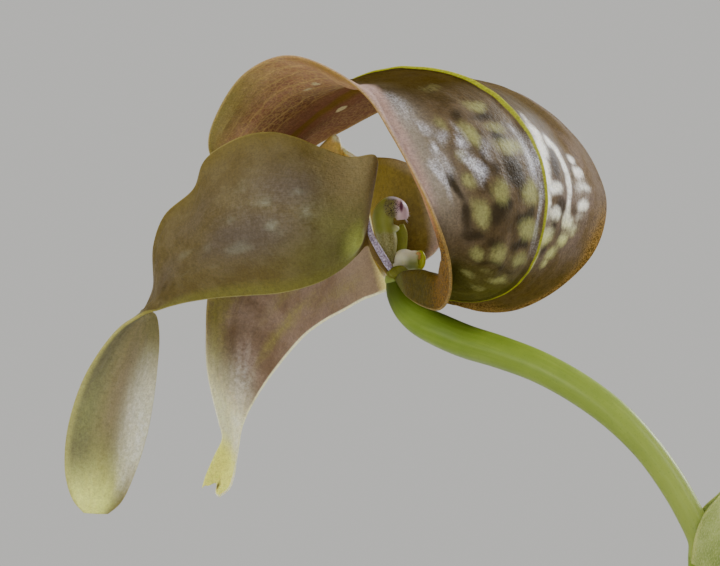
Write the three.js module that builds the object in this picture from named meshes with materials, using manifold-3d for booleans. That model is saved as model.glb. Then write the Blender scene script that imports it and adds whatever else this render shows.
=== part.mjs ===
// A potted Bulbophyllum grandiflorum: an orchid with creeping rhizome, pseudobulbs, single leaves
// and one large hooded flower on a long stalk, in a plain terracotta pot.
//
// Millimetres, +Z up. The origin is the centre of the pot's base. The flower is modelled round its
// receptacle, the point where the sepals, petals, lip and column meet the ovary.

import * as THREE from 'three';
import { mergeVertices } from 'three/addons/utils/BufferGeometryUtils.js';
import Module from 'manifold-3d';

const wasm = await Module();
wasm.setup();

// Driving dimensions.
const GAP = 0.3;                       // clearance between pieces that touch
const POT_TOP_RADIUS = 66;
const POT_BASE_RADIUS = 46;
const POT_HEIGHT = 98;
const POT_WALL = 5;
const POT_FLOOR = 6;
const RIM_HEIGHT = 22;
const RIM_STEP = 3;
const DRAIN_HOLE_RADIUS = 4.5;
const DRAIN_HOLE_CIRCLE = 22;
const DRAIN_HOLES = 4;
const MIX_TOP = 86;
const BARK_CHIPS = 30;

const RHIZOME_RADIUS = 3.6;
const ROOT_RADIUS = 1.0;
const BULB_HEIGHT = 34;
const BULB_RADIUS = 9.8;
const LEAF_WIDTH = 36;
const LEAF_THICKNESS = 1.2;

const RECEPTACLE = [-28, 10, 300];     // where the flower meets its ovary
const RECEPTACLE_RADIUS = 1.9;
const SEPAL_THICKNESS = 0.95;
const MARGIN_THICKNESS = 0.75;
const KEEL_RISE = 0.7;

// Colours.
const TERRACOTTA = 0xb5653f;
const BARK = 0x4a3323;
const RHIZOME_GREEN = 0x7c7440;
const BULB_GREEN = 0x7d8f3c;
const LEAF_GREEN = 0x3f6b2a;
const STALK_GREEN = 0x87983f;
const BRACT_GREEN = 0x98a45a;
const DORSAL_BROWN = 0x6d5c45;
const LATERAL_OLIVE = 0x80713f;
const LATERAL_PINK = 0x8d7463;
const PETAL_GREEN = 0x8a9430;
const LIP_GREEN = 0x9ba04b;
const COLUMN_CREAM = 0xe9e6bd;
const ANTHER_ORANGE = 0xe0a04c;

// A small seeded generator, so that every build draws the same numbers.
function seededRandom(seed) {
  let state = seed >>> 0;
  return () => {
    state = (Math.imul(state, 1664525) + 1013904223) >>> 0;
    return state / 4294967296;
  };
}

const vector = ([x, y, z]) => new THREE.Vector3(x, y, z);
const curveThrough = (points) => new THREE.CatmullRomCurve3(points.map(vector), false, 'centripetal');

function geometryFrom(vertices, triangles) {
  const geometry = new THREE.BufferGeometry();
  const flat = vertices.flatMap((v) => [v.x, v.y, v.z]);
  geometry.setAttribute('position', new THREE.Float32BufferAttribute(flat, 3));
  geometry.setIndex(triangles.flat());
  return geometry;
}

function solidFrom(geometry) {
  const bare = geometry.clone();
  bare.deleteAttribute('normal');
  bare.deleteAttribute('uv');
  const merged = mergeVertices(bare, 1e-4);
  return new wasm.Manifold(new wasm.Mesh({
    numProp: 3,
    vertProperties: new Float32Array(merged.attributes.position.array),
    triVerts: new Uint32Array(merged.index.array),
  }));
}

function geometryOf(solid) {
  const mesh = solid.getMesh();
  const geometry = new THREE.BufferGeometry();
  geometry.setAttribute('position', new THREE.BufferAttribute(new Float32Array(mesh.vertProperties), 3));
  geometry.setIndex(new THREE.BufferAttribute(new Uint32Array(mesh.triVerts), 1));
  return geometry;
}

// Keeps the largest body, so that a boolean cut leaves no loose scrap.
function largestBody(solid) {
  return solid.decompose().reduce((a, b) => (a.volume() > b.volume() ? a : b));
}

const unionOf = (solids) => solids.reduce((a, b) => a.add(b));

function sphere(centre, radius) {
  const geometry = new THREE.SphereGeometry(radius, 12, 8);
  geometry.translate(...centre);
  return solidFrom(geometry);
}

// A closed blade lofted through ribs, which are hand-placed curves from base to tip that share their
// stations. Ribs come in panels that meet in a crease, and each panel says how many columns it has.
// `rise` is how far a keel stands out along each crease, on the back of the blade.
function blade(panels, { rows, thickness = SEPAL_THICKNESS, margin = MARGIN_THICKNESS, rise = 0 }) {
  const curves = panels.map((panel) => panel.ribs.map(curveThrough));
  const grid = [];
  const creases = new Set();
  for (let i = 0; i <= rows; i += 1) {
    const row = [];
    panels.forEach((panel, p) => {
      const across = new THREE.CatmullRomCurve3(curves[p].map((curve) => curve.getPoint(i / rows)));
      for (let j = p === 0 ? 0 : 1; j <= panel.columns; j += 1) {
        row.push(across.getPoint(j / panel.columns));
      }
      creases.add(row.length - 1);
    });
    grid.push(row);
  }
  const columns = grid[0].length - 1;
  creases.delete(columns);
  const faces = { front: [], back: [] };
  for (let i = 0; i <= rows; i += 1) {
    for (let j = 0; j <= columns; j += 1) {
      const along = grid[Math.min(i + 1, rows)][j].clone().sub(grid[Math.max(i - 1, 0)][j]);
      const over = grid[i][Math.min(j + 1, columns)].clone().sub(grid[i][Math.max(j - 1, 0)]);
      const normal = along.cross(over).normalize();
      const share = Math.sin(Math.PI * j / columns);
      const half = (margin + (thickness - margin) * share) / 2;
      const crest = creases.has(j) ? rise * Math.sin((Math.PI * i) / rows) : 0;
      faces.front.push(grid[i][j].clone().addScaledVector(normal, half));
      faces.back.push(grid[i][j].clone().addScaledVector(normal, -half - crest));
    }
  }
  return closeBlade(faces, rows, columns);
}

// Joins the two faces of a blade round its rim. Both faces are split along the same diagonals.
function closeBlade(faces, rows, columns) {
  const width = columns + 1;
  const offset = faces.front.length;
  const at = (i, j) => i * width + j;
  const triangles = [];
  for (let i = 0; i < rows; i += 1) {
    for (let j = 0; j < columns; j += 1) {
      const [a, b, c, d] = [at(i, j), at(i + 1, j), at(i + 1, j + 1), at(i, j + 1)];
      triangles.push([a, b, c], [a, c, d]);
      triangles.push([offset + a, offset + c, offset + b], [offset + a, offset + d, offset + c]);
    }
  }
  const rim = [];
  for (let j = 0; j < columns; j += 1) rim.push(at(0, j));
  for (let i = 0; i < rows; i += 1) rim.push(at(i, columns));
  for (let j = columns; j > 0; j -= 1) rim.push(at(rows, j));
  for (let i = rows; i > 0; i -= 1) rim.push(at(i, 0));
  rim.forEach((a, k) => {
    const b = rim[(k + 1) % rim.length];
    triangles.push([a, b, offset + b], [a, offset + b, offset + a]);
  });
  return geometryFrom([...faces.front, ...faces.back], triangles);
}

// A closed stem through a line of stations [x, y, z, radius]. `section` scales the radius round the
// stem, and `flatten` scales its height against its width.
function stem(stations, options) {
  const { sides = 10, steps = 24, grow = 0, section = () => 1, flatten = 1, up = [0, 0, 1] } = options;
  const line = curveThrough(stations.map(([x, y, z]) => [x, y, z]));
  const girth = curveThrough(stations.map(([, , , r], i) => [i, r, 0]));
  const vertices = [];
  const triangles = [];
  let side = vector(up).cross(line.getTangent(0));
  for (let i = 0; i <= steps; i += 1) {
    const t = i / steps;
    const centre = line.getPoint(t);
    const tangent = line.getTangent(t);
    side.addScaledVector(tangent, -side.dot(tangent)).normalize();
    const rise = tangent.clone().cross(side);
    const radius = girth.getPoint(t).y + grow;
    for (let k = 0; k < sides; k += 1) {
      const angle = (2 * Math.PI * k) / sides;
      const reach = radius * section(angle, t);
      const point = centre.clone().addScaledVector(side, reach * Math.cos(angle));
      vertices.push(point.addScaledVector(rise, reach * flatten * Math.sin(angle)));
    }
  }
  const ends = [vertices.length, vertices.length + 1];
  vertices.push(line.getPoint(0).addScaledVector(line.getTangent(0), -grow));
  vertices.push(line.getPoint(1).addScaledVector(line.getTangent(1), grow));
  for (let k = 0; k < sides; k += 1) {
    const next = (k + 1) % sides;
    for (let i = 0; i < steps; i += 1) {
      const [a, b] = [i * sides + k, i * sides + next];
      triangles.push([a, b, b + sides], [a, b + sides, a + sides]);
    }
    triangles.push([ends[0], next, k], [ends[1], steps * sides + k, steps * sides + next]);
  }
  return geometryFrom(vertices, triangles);
}

const placed = (points) => points.map(([x, y, z, ...rest]) => [
  x + RECEPTACLE[0], y + RECEPTACLE[1], z + RECEPTACLE[2], ...rest,
]);

// The inner face of the pot's wall runs straight between two rings, each a radius and a height.
const WALL_FOOT = [POT_BASE_RADIUS - POT_WALL + 1, POT_FLOOR + 2];
const WALL_HEAD = [POT_TOP_RADIUS - POT_WALL - 2, POT_HEIGHT - 3];

function wallInside(z) {
  const share = (z - WALL_FOOT[1]) / (WALL_HEAD[1] - WALL_FOOT[1]);
  return WALL_FOOT[0] + (WALL_HEAD[0] - WALL_FOOT[0]) * share;
}

// The pot is one fired piece with a thick rolled rim and drainage holes through its floor.
function potSolid() {
  const rimFoot = POT_HEIGHT - RIM_HEIGHT;
  const slope = (POT_TOP_RADIUS - RIM_STEP - POT_BASE_RADIUS) / POT_HEIGHT;
  const outside = (z) => POT_BASE_RADIUS + slope * z;
  const profile = [
    [0, 0],
    [POT_BASE_RADIUS - 1, 0],
    [POT_BASE_RADIUS, 1],
    [outside(rimFoot), rimFoot],
    [outside(rimFoot) + RIM_STEP, rimFoot + 1.5],
    [POT_TOP_RADIUS, POT_HEIGHT - 2],
    [POT_TOP_RADIUS - 1.5, POT_HEIGHT],
    [POT_TOP_RADIUS - POT_WALL, POT_HEIGHT],
    WALL_HEAD,
    WALL_FOOT,
    [WALL_FOOT[0] - 3, POT_FLOOR],
    [0, POT_FLOOR],
  ];
  const lathe = new THREE.LatheGeometry(profile.map(([r, z]) => new THREE.Vector2(r, z)), 40);
  lathe.rotateX(Math.PI / 2);
  let pot = solidFrom(lathe);
  for (let k = 0; k < DRAIN_HOLES; k += 1) {
    const angle = ((k + 0.5) * 2 * Math.PI) / DRAIN_HOLES;
    const hole = new THREE.CylinderGeometry(DRAIN_HOLE_RADIUS, DRAIN_HOLE_RADIUS, 4 * POT_FLOOR, 12);
    hole.rotateX(Math.PI / 2);
    hole.translate(DRAIN_HOLE_CIRCLE * Math.cos(angle), DRAIN_HOLE_CIRCLE * Math.sin(angle), 0);
    pot = pot.subtract(solidFrom(hole));
  }
  return pot;
}

// The rhizome creeps over the potting mix, thicker at its nodes, with roots that dive into the mix.
const RHIZOME_PATH = [
  [-47, 19, 84.5], [-37, 15.5, 85.5], [-26, 13, 85], [-15, 11, 85.5], [0.5, 6, 85], [16, 0, 85.5],
  [26, -5, 85], [35, -9.5, 85.5], [43, -13.5, 85.5], [50, -16.5, 87],
];
const RHIZOME_RINGS = 12;

const ROOTS = [
  [[-44, 17, 84], [-47, 8, 87], [-45, -2, 87.2], [-41, -8, 84]],
  [[-29, 13, 84], [-26, 24, 87], [-20, 32, 87.4], [-16, 38, 84]],
  [[-16, 10, 84], [-18, 0, 87], [-24, -8, 87.2], [-30, -16, 84]],
  [[-1, 6, 84], [4, 16, 87], [12, 24, 87.4], [14, 32, 84]],
  [[11, 2, 84], [8, -8, 87], [0, -16, 87.4], [-6, -26, 84]],
  [[28, -6, 84], [35, 3, 87], [40, 12, 87.2], [38, 20, 84]],
  [[38, -11, 84], [36, -21, 87], [29, -29, 87.2], [23, -36, 84]],
];

function rhizomeSolid(grow) {
  const stations = RHIZOME_PATH.map(([x, y, z], i) => {
    const atEnd = i === 0 || i === RHIZOME_PATH.length - 1;
    return [x, y, z, atEnd ? RHIZOME_RADIUS * 0.5 : RHIZOME_RADIUS];
  });
  const ringed = (angle, t) => 1 + 0.07 * Math.cos(2 * Math.PI * RHIZOME_RINGS * t);
  const main = stem(stations, { sides: 8, steps: 36, grow, section: ringed });
  const roots = ROOTS.map((path, i) => {
    const thick = ROOT_RADIUS * (1 + 0.15 * Math.sin(3 * i));
    return stem(path.map((p) => [...p, thick]), { sides: 5, steps: 7, grow });
  });
  return unionOf([main, ...roots].map(solidFrom));
}

// The potting mix is coarse bark: a disc that fills the pot, with chips standing out of its top.
function mixSolid() {
  const inside = (z) => wallInside(z) - GAP;
  const profile = [
    [0, POT_FLOOR + GAP],
    [WALL_FOOT[0] - 4, POT_FLOOR + GAP],
    [inside(POT_FLOOR + 3), POT_FLOOR + 3],
    [inside(MIX_TOP - 4), MIX_TOP - 4],
    [inside(MIX_TOP) - 4, MIX_TOP - 2],
    [30, MIX_TOP - 1],
    [0, MIX_TOP],
  ];
  const lathe = new THREE.LatheGeometry(profile.map(([r, z]) => new THREE.Vector2(r, z)), 32);
  lathe.rotateX(Math.PI / 2);
  const chips = [];
  const random = seededRandom(11);
  const reach = inside(MIX_TOP) - 8;
  for (let k = 0; k < BARK_CHIPS; k += 1) {
    const distance = reach * Math.sqrt((k + 0.5) / BARK_CHIPS);
    const angle = k * 2.399963 + 0.3 * random();
    const chip = new THREE.BoxGeometry(9 + 6 * random(), 6 + 4 * random(), 4 + 2 * random());
    chip.rotateX(0.5 * (random() - 0.5));
    chip.rotateY(0.6 * (random() - 0.5));
    chip.rotateZ(Math.PI * random());
    const depth = MIX_TOP - 1 - 1.6 * random();
    chip.translate(distance * Math.cos(angle), distance * Math.sin(angle), depth);
    chips.push(solidFrom(chip));
  }
  return unionOf([solidFrom(lathe), ...chips]);
}

// Pseudobulbs stand on the rhizome: [x, y, height scale, radius scale, turn of the angles].
const BULBS = [
  [-37, 15.5, 0.86, 0.92, 0.2],
  [-15, 11, 0.94, 1.0, 0.9],
  [16, 0, 1.0, 0.96, 0.5],
  [35, -9.5, 0.97, 0.88, 1.3],
];
const BULB_FOOT = 86.5;
const BULB_PROFILE = [
  [0, 0.42], [0.1, 0.72], [0.25, 0.98], [0.42, 1.0], [0.6, 0.86], [0.78, 0.6], [0.92, 0.36], [1, 0.24],
];

function bulbGeometry([x, y, tall, wide, turn], grow = 0) {
  const stations = BULB_PROFILE.map(([h, r]) => [
    x, y, BULB_FOOT + h * tall * BULB_HEIGHT, r * wide * BULB_RADIUS,
  ]);
  const angled = (angle, t) => 1 + 0.07 * Math.cos(4 * (angle + turn)) * Math.sin(Math.PI * t);
  return stem(stations, { sides: 16, steps: 10, grow, section: angled, up: [0, 1, 0] });
}

const bulbTop = ([x, y, tall]) => [x, y, BULB_FOOT + tall * BULB_HEIGHT];

// Each pseudobulb carries one leaf: [azimuth, lean, further bend, length in mm, twist], angles in degrees.
const LEAVES = [
  [168, 14, 34, 118, -8],
  [112, 10, 30, 128, 6],
  [48, 12, 32, 132, -5],
  [-28, 16, 36, 124, 9],
];
const LEAF_STATIONS = [
  [0, 0.13], [0.06, 0.12], [0.13, 0.16], [0.22, 0.48], [0.34, 0.8], [0.48, 0.98], [0.62, 1.0],
  [0.76, 0.86], [0.88, 0.58], [0.96, 0.3], [1, 0.1],
];

function leafGeometry(foot, [azimuth, lean, bend, length, twist]) {
  const out = new THREE.Vector3(Math.cos(THREE.MathUtils.degToRad(azimuth)),
    Math.sin(THREE.MathUtils.degToRad(azimuth)), 0);
  const upright = new THREE.Vector3(0, 0, 1);
  const sideways = upright.clone().cross(out);
  const ribs = [[], [], [], [], []];
  const point = vector(foot);
  let last = 0;
  LEAF_STATIONS.forEach(([t, width]) => {
    const angle = THREE.MathUtils.degToRad(lean + bend * t * t * 1.4);
    const forward = upright.clone().multiplyScalar(Math.cos(angle)).addScaledVector(out, Math.sin(angle));
    point.addScaledVector(forward, (t - last) * length);
    last = t;
    const face = forward.clone().cross(sideways);
    const roll = THREE.MathUtils.degToRad(twist * t);
    const across = sideways.clone().multiplyScalar(Math.cos(roll)).addScaledVector(face, Math.sin(roll));
    const half = (width * LEAF_WIDTH) / 2;
    const cup = width * LEAF_WIDTH * 0.09;
    [-1, -0.5, 0, 0.5, 1].forEach((s, k) => {
      const wave = 0.5 * width * Math.sin(9 * t + (s > 0 ? 1.4 : 0)) * s * s;
      const lift = cup * Math.abs(s) ** 1.4 + wave;
      const spot = point.clone().addScaledVector(across, s * half).addScaledVector(face, -lift);
      ribs[k].push(spot.toArray());
    });
  });
  return blade([{ ribs: ribs.slice(0, 3), columns: 2 }, { ribs: ribs.slice(2), columns: 2 }],
    { rows: 20, thickness: LEAF_THICKNESS, margin: 0.9 });
}

// The youngest growth at the tip of the rhizome, still wrapped in its pale sheaths.
function newShootGeometry(grow = 0) {
  const stations = [
    [50, -16.5, 88.5, 1.8], [50.4, -16.8, 92, 2.9], [50.9, -17.4, 96, 3.2], [51.6, -18.2, 101, 2.5],
    [52.2, -19, 106, 1.5], [52.6, -19.6, 109.5, 0.5],
  ];
  return stem(stations, { sides: 10, steps: 12, grow, section: (angle) => 1 + 0.08 * Math.cos(2 * angle) });
}

// The peduncle rises from the rhizome and ends at the node where the flower's own stalk begins.
const PEDUNCLE_PATH = [
  [29.5, -4.6, -213, 2.9], [30, -7.4, -203, 2.8], [34, -16, -175, 2.6], [41.6, -27.6, -135, 2.5],
  [47.8, -36.2, -95, 2.6], [50.6, -40.6, -70, 2.7], [51.7, -42.4, -54, 2.8], [51.8, -42.7, -46.6, 2.7],
];
const PEDUNCLE_SECTION = { sides: 12, steps: 24 };

const peduncleGeometry = (grow = 0) => stem(placed(PEDUNCLE_PATH), { ...PEDUNCLE_SECTION, grow });

// A papery sheath hugs the peduncle: a tube from one height to another that opens towards its top.
function sheathSolid(path, wall) {
  const outer = solidFrom(stem(placed(path), { sides: 12, steps: 5 }));
  return largestBody(outer.subtract(solidFrom(peduncleGeometry(wall))));
}

const LOWER_SHEATH = [
  [30.4, -8.5, -199, 3.7], [32, -12.2, -187, 3.9], [34.1, -16.2, -174.5, 4.2], [36.4, -19.9, -162, 4.6],
];
const UPPER_SHEATH = [
  [45.1, -31.9, -116, 3.5], [46.6, -34.4, -104, 3.7], [48.2, -36.9, -92, 4], [49.6, -39.1, -80, 4.5],
];

// The pedicel widens into the ribbed ovary, which ends in the receptacle's small dome.
const OVARY_PATH = [
  [51.3, -42.4, -43.7, 2.3], [49.5, -41.5, -39.6, 2.3], [46.8, -40, -34.7, 2.35], [42.8, -38, -29, 2.4],
  [37.8, -35, -23.7, 2.6], [32, -31, -19.3, 2.7], [25.4, -26, -15.6, 2.75], [18.8, -20, -13.1, 2.85],
  [12.9, -14, -11.3, 2.95], [8.6, -10, -9.5, 2.95], [5.1, -6, -7.7, 2.75], [2.7, -3, -5.6, 2.4],
  [1.1, -1, -2.9, 2.0], [0.4, 0, -0.4, 1.5],
];

function ovarySolid(grow) {
  const ribbed = (angle, t) => 1 + 0.045 * Math.cos(3 * angle + 0.6) * Math.min(1, 2 * t);
  const stalk = solidFrom(stem(placed(OVARY_PATH), { sides: 12, steps: 26, grow, section: ribbed }));
  return stalk.add(sphere(RECEPTACLE, RECEPTACLE_RADIUS + grow));
}

// The dorsal sepal is a keeled hood: it leaves the base, loops back and up, and arches over the flower.
// Its ribs run from base to tip: near margin, near crest, near middle, keel, far middle, far margin.
const DORSAL_NEAR = [
  [0.6, -1.6, -0.3], [2.7, -10, -3.4], [5.3, -16, -5.1], [8.1, -22, -5.6], [9.7, -29, -2.6],
  [9.2, -36, 3.7], [6.2, -38.5, 11.7], [3, -36, 18.2], [0, -33.5, 23.7], [-4.4, -29.5, 30.8],
  [-10.6, -23.7, 35.9], [-18.9, -14.3, 39], [-26.3, -4.8, 36.6], [-31.3, 4.5, 30.8], [-33.8, 16, 24],
  [-31.5, 22, 18.3],
];
const DORSAL_CREST = [
  [0.8, -1.2, -0.3], [2.2, -8, 0.9], [5.5, -13, 1], [8.2, -19, 0.1], [8.4, -28, 2.2], [8.2, -34.5, 5.2],
  [5.9, -37, 12.6], [3.1, -34, 19.5], [0.4, -31, 25.2], [-3.7, -26.5, 32], [-7.7, -19, 33.4],
  [-14.3, -9.5, 36.8], [-22, 0, 34.6], [-27.5, 8.5, 29.2], [-31, 17.5, 23.4], [-30.2, 22.5, 18],
];
const DORSAL_MIDDLE = [
  [1, -0.8, -0.4], [4, -8, -1.1], [8.3, -13, -1.6], [12.2, -18.5, -2.1], [15.6, -25.5, -0.7],
  [17.5, -30.5, 4.1], [17.7, -33, 12.4], [15.7, -32, 20.1], [11.6, -27.5, 27.3], [5.4, -20, 33.2],
  [-1.7, -11, 35], [-11.2, -1, 34.3], [-17.4, 6, 32.4], [-23.4, 12.5, 27.8], [-27.5, 19, 22.3],
  [-28.8, 23.5, 17.6],
];
const DORSAL_KEEL = [
  [1.2, -0.4, -0.5], [5.8, -5, -2.7], [10.4, -8.6, -3.4], [15.4, -13, -3.4], [20.6, -17.5, -1.2],
  [24, -20.5, 3.1], [26, -22.2, 12.6], [25, -21.4, 20.8], [20.6, -17.5, 28.8], [12.9, -11, 34.7],
  [3.2, -2.7, 37], [-5.8, 4.9, 35.9], [-13.1, 11, 31.5], [-19.3, 16.2, 26.6], [-24, 20.3, 21.4],
  [-27.1, 24, 17.3],
];
const DORSAL_FAR_MIDDLE = [
  [1.2, 0.1, -0.4], [8.2, -3, -3.6], [12.8, -5, -4.8], [18.7, -8, -4.8], [25.7, -10.5, -2.1],
  [31.1, -12, 4.4], [33.4, -12, 12.9], [32.2, -9.5, 20.4], [27.6, -5, 28], [18.8, 1, 34.3], [7, 9, 36.6],
  [-2.1, 16, 34.4], [-10.6, 21, 30.2], [-16.6, 25, 26.1], [-21.7, 26.5, 21.3], [-26, 26, 17.1],
];
const DORSAL_FAR = [
  [1.1, 0.6, -0.3], [10.8, -1, -3.8], [15.4, -2, -5.7], [22, -3.5, -5.6], [29.6, -4, -1.8],
  [36.4, -2, 5.2], [38.6, 1, 12.6], [37.5, 4, 18.5], [33.3, 9, 25.8], [24.1, 14, 33.5], [11.9, 21, 36.5],
  [0.8, 27, 32.8], [-8.6, 32, 28.3], [-14.9, 35, 25], [-20, 33, 20.9], [-24.9, 27, 17],
];

// The near lateral sepal: a broad sheet that narrows, turns over once and ends in an oval blade.
const NEAR_UPPER = [
  [-0.5, -1.3, 1.6], [-3.8, -6.2, 8.2], [-4.7, -7.8, 13], [-2.9, -9.8, 21.6], [-7.5, -10.6, 21.4],
  [-12.8, -11.3, 23.1], [-17.1, -10.9, 24.9], [-22.1, -9, 25.9], [-27.5, -7, 24.9], [-33.5, -4.4, 21.1],
  [-35.3, -3.5, 16.3], [-40.9, 0.5, 11.4], [-43, 3, 6], [-43.2, 6.5, -1.3], [-44.5, 9.5, -4.9],
  [-44.3, 11.5, -5.9], [-43.3, 13.5, -6.8], [-42.8, 15, -10.5], [-43.3, 17, -17], [-44.3, 18, -24.4],
  [-45.5, 18.5, -30], [-47.7, 19, -36.6], [-50.1, 19, -41.6], [-52.6, 19, -43.8],
];
const NEAR_LOWER = [
  [-0.9, -1.2, 0.4], [-2.9, -3.5, 2.9], [-4.5, -5, 5.7], [-6.5, -6.5, 3.9], [-8.6, -7.3, 1.9],
  [-11.4, -8, 0], [-14.6, -8.3, -1.4], [-20, -7, -2.7], [-26.5, -3, -3.2], [-31.5, -1, -3.6],
  [-36.4, 1.5, -4.3], [-38.7, 3, -4.8], [-40.6, 4, -5.3], [-42.4, 5, -5.9], [-44.7, 6, -6.4],
  [-46.9, 7, -7.4], [-49.8, 8.5, -9.3], [-53.3, 10, -13.2], [-56.7, 12.5, -18.7], [-59.3, 15, -25.8],
  [-60.4, 17, -31.8], [-60.3, 18, -37.1], [-59, 18.5, -41.2], [-57, 19, -43.6],
];
const NEAR_BULGE = [
  0, 0.4, 0.6, 2, 3.4, 4.6, 5.4, 5.6, 4.8, 3.6, 2.8, 2, 1.4, 0.8, 0.2, 0.2, 0.6, 1.6, 2.4, 2.8, 2.8, 2.4,
  1.4, 0.8,
];

// The far lateral sepal: its ochre base shows behind the column, and its blade hangs down to a twisted tip.
const FAR_UPPER = [
  [1.3, 1.3, 0.5], [8.8, 5.5, 6], [8.6, 8, 13.3], [5.8, 9, 19.4], [1.6, 11, 21.6],
  [-2.8, 17, 22.4], [-5.6, 21.5, 22.4], [-7.6, 24, 23.6], [-9.3, 25, 25], [-10.4, 25, 26.3],
  [-13.7, 27, 22.5], [-18.6, 29.5, 17], [-24.3, 32, 12], [-30.1, 34, 5.5], [-34.3, 35, -1.3],
  [-35.3, 38, -10.9], [-35.2, 41, -17.6], [-34.2, 44, -23.5], [-33.3, 46, -27.5], [-32.6, 47.5, -31],
  [-34.2, 49, -34.6], [-35.8, 50, -38.1], [-36.4, 50.5, -40.1],
];
const FAR_LOWER = [
  [0.4, 1.7, 0.8], [0, 3.5, 2.5], [-1.4, 6, 4.4], [-3.2, 8.5, 5.7], [-3.9, 10.5, 5.3],
  [-3.2, 11.5, 3.5], [-1.5, 12, 0.4], [-0.2, 12.5, -1.8], [-2.6, 13.5, -3.1], [-5, 16, -4],
  [-8.7, 21, -6.1], [-12.5, 27, -8.2], [-16, 32, -10.8], [-19.1, 37, -14.1], [-22.7, 41, -18.6],
  [-25.5, 44.5, -22.7], [-27.7, 46.5, -26.7], [-28.7, 47.5, -29.5], [-29.2, 48.5, -32.4],
  [-29.7, 49, -35.6], [-30.2, 49.5, -38.5], [-30.9, 50, -40.9], [-32.7, 50.5, -42.4],
];
const FAR_BULGE = [
  0, 1.2, 2, 2.4, 2.2, 1.6, 1, 0.6, 0.4, 0.4, 1, 1.8, 2.4, 2.6, 2.4, 2, 1.6, 1.2, 0.8, 0.6, 0.8, 0.8, 0.4,
];

// A middle rib between two margins, pushed out across the line of sight from the flower's side.
function middleRib(upper, lower, bulge, direction) {
  return upper.map((high, i) => high.map((value, axis) => (
    (value + lower[i][axis]) / 2 + bulge[i] * direction[axis])));
}

const BULGE_TO_NEAR_SIDE = [0, -1, 0];
const BULGE_TO_FAR_SIDE = [0.3, 0.95, 0];

// The two petals are narrow strips beside the column.
const PETAL_FAR = [
  [[0.9, 1.5, 1.6], [0.8, 2.1, 3.6], [0.8, 2.4, 6], [1.2, 2.6, 8.2], [1.9, 2.6, 9.8]],
  [[1.9, 1.3, 1.5], [2.1, 2, 3.6], [2.6, 2.4, 6], [2.7, 2.6, 8.2], [2.3, 2.6, 9.9]],
];
const PETAL_NEAR = [
  [[0.1, -2, 1.6], [0.5, -2.9, 2.5], [1.2, -3.4, 3], [2.1, -3.7, 3], [2.7, -3.8, 2.6]],
  [[0.6, -2.1, 0.5], [1.1, -3, 1.1], [1.8, -3.5, 1.5], [2.5, -3.7, 1.8], [2.9, -3.8, 2]],
];

// The hooked lip: a narrow claw, a swollen body, a head that bends over, and a small side lobe.
const LIP_PATH = [
  [-0.5, -0.3, 2.6, 0.5], [-0.9, -0.3, 3.6, 0.8], [-1.2, -0.4, 5.2, 1.15], [-1.5, -0.5, 7.2, 1.6],
  [-1.6, -0.5, 9.4, 1.9], [-1.5, -0.5, 11.4, 1.95], [-0.3, -0.5, 12.9, 1.75], [1.2, -0.5, 12.6, 1.6],
  [1.9, -0.5, 11.3, 1.15], [2, -0.5, 10.5, 0.6],
];

function lipSolid() {
  const body = solidFrom(stem(placed(LIP_PATH), { sides: 10, steps: 16, up: [0, 1, 0], flatten: 1.15 }));
  const lobe = new THREE.SphereGeometry(1, 8, 6);
  lobe.scale(1.1, 1.2, 0.8);
  lobe.translate(...placed([[0.4, -0.5, 8.8]])[0]);
  return body.add(solidFrom(lobe));
}

// The short column, with a cupped end that holds the anther cap.
const COLUMN_PATH = [
  [1.3, 0.2, 2.1, 0.7], [1.9, 0.1, 2.9, 1.4], [3, 0, 3.3, 1.6], [4.2, 0, 3.3, 1.5], [5.2, 0, 3.1, 1.65],
  [6, 0, 2.9, 1.7],
];
const CUP_CENTRE = [6.3, 0, 2.9];
const CUP_RADIUS = 1.35;

function columnSolid() {
  const body = solidFrom(stem(placed(COLUMN_PATH), { sides: 12, steps: 8 }));
  return body.subtract(sphere(placed([CUP_CENTRE])[0], CUP_RADIUS));
}

function antherSolid() {
  return sphere(placed([CUP_CENTRE])[0], CUP_RADIUS - GAP);
}

// The floral bract wraps the right side of the node and spreads outwards.
const BRACT_NEAR = [
  [49.9, -46.6, -47], [50.3, -46.8, -42.5], [51.8, -46, -38.9], [54.4, -44.6, -36.2], [58.6, -43, -31.8],
];
const BRACT_MIDDLE = [
  [56.2, -42.8, -51.5], [57.2, -42.8, -46], [58.8, -42.7, -40.5], [60.6, -42.6, -35.5],
  [61.2, -42.5, -30.4],
];
const BRACT_FAR = [
  [49.9, -38.4, -47], [50.3, -38.2, -42.5], [51.8, -39, -38.9], [54.4, -40.4, -36.2], [58.8, -42, -31.8],
];

// What grows on the receptacle starts a hair above the dome.
const ovaryRoom = ovarySolid(GAP);
const offDome = (solid) => largestBody(solid.subtract(ovaryRoom));
const sepalSolid = (panels, options) => offDome(solidFrom(blade(panels, options)));

const group = new THREE.Group();

function addPiece(name, shape, colour, roughness = 0.6) {
  const geometry = shape instanceof THREE.BufferGeometry ? shape : geometryOf(shape);
  const material = new THREE.MeshStandardMaterial({ color: colour, roughness, metalness: 0 });
  const mesh = new THREE.Mesh(geometry, material);
  mesh.name = name;
  group.add(mesh);
}

addPiece('pot', potSolid(), TERRACOTTA, 0.9);
const rhizome = rhizomeSolid(0);
const rhizomeRoom = rhizomeSolid(GAP);
addPiece('rhizome', rhizome, RHIZOME_GREEN, 0.7);

const bulbRooms = BULBS.map((bulb) => solidFrom(bulbGeometry(bulb, GAP)));
const shootRooms = [newShootGeometry(GAP), peduncleGeometry(GAP)].map(solidFrom);
const plantRoom = unionOf([rhizomeRoom, ...bulbRooms, ...shootRooms]);
addPiece('potting_mix', largestBody(mixSolid().subtract(plantRoom)), BARK, 0.95);

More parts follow.
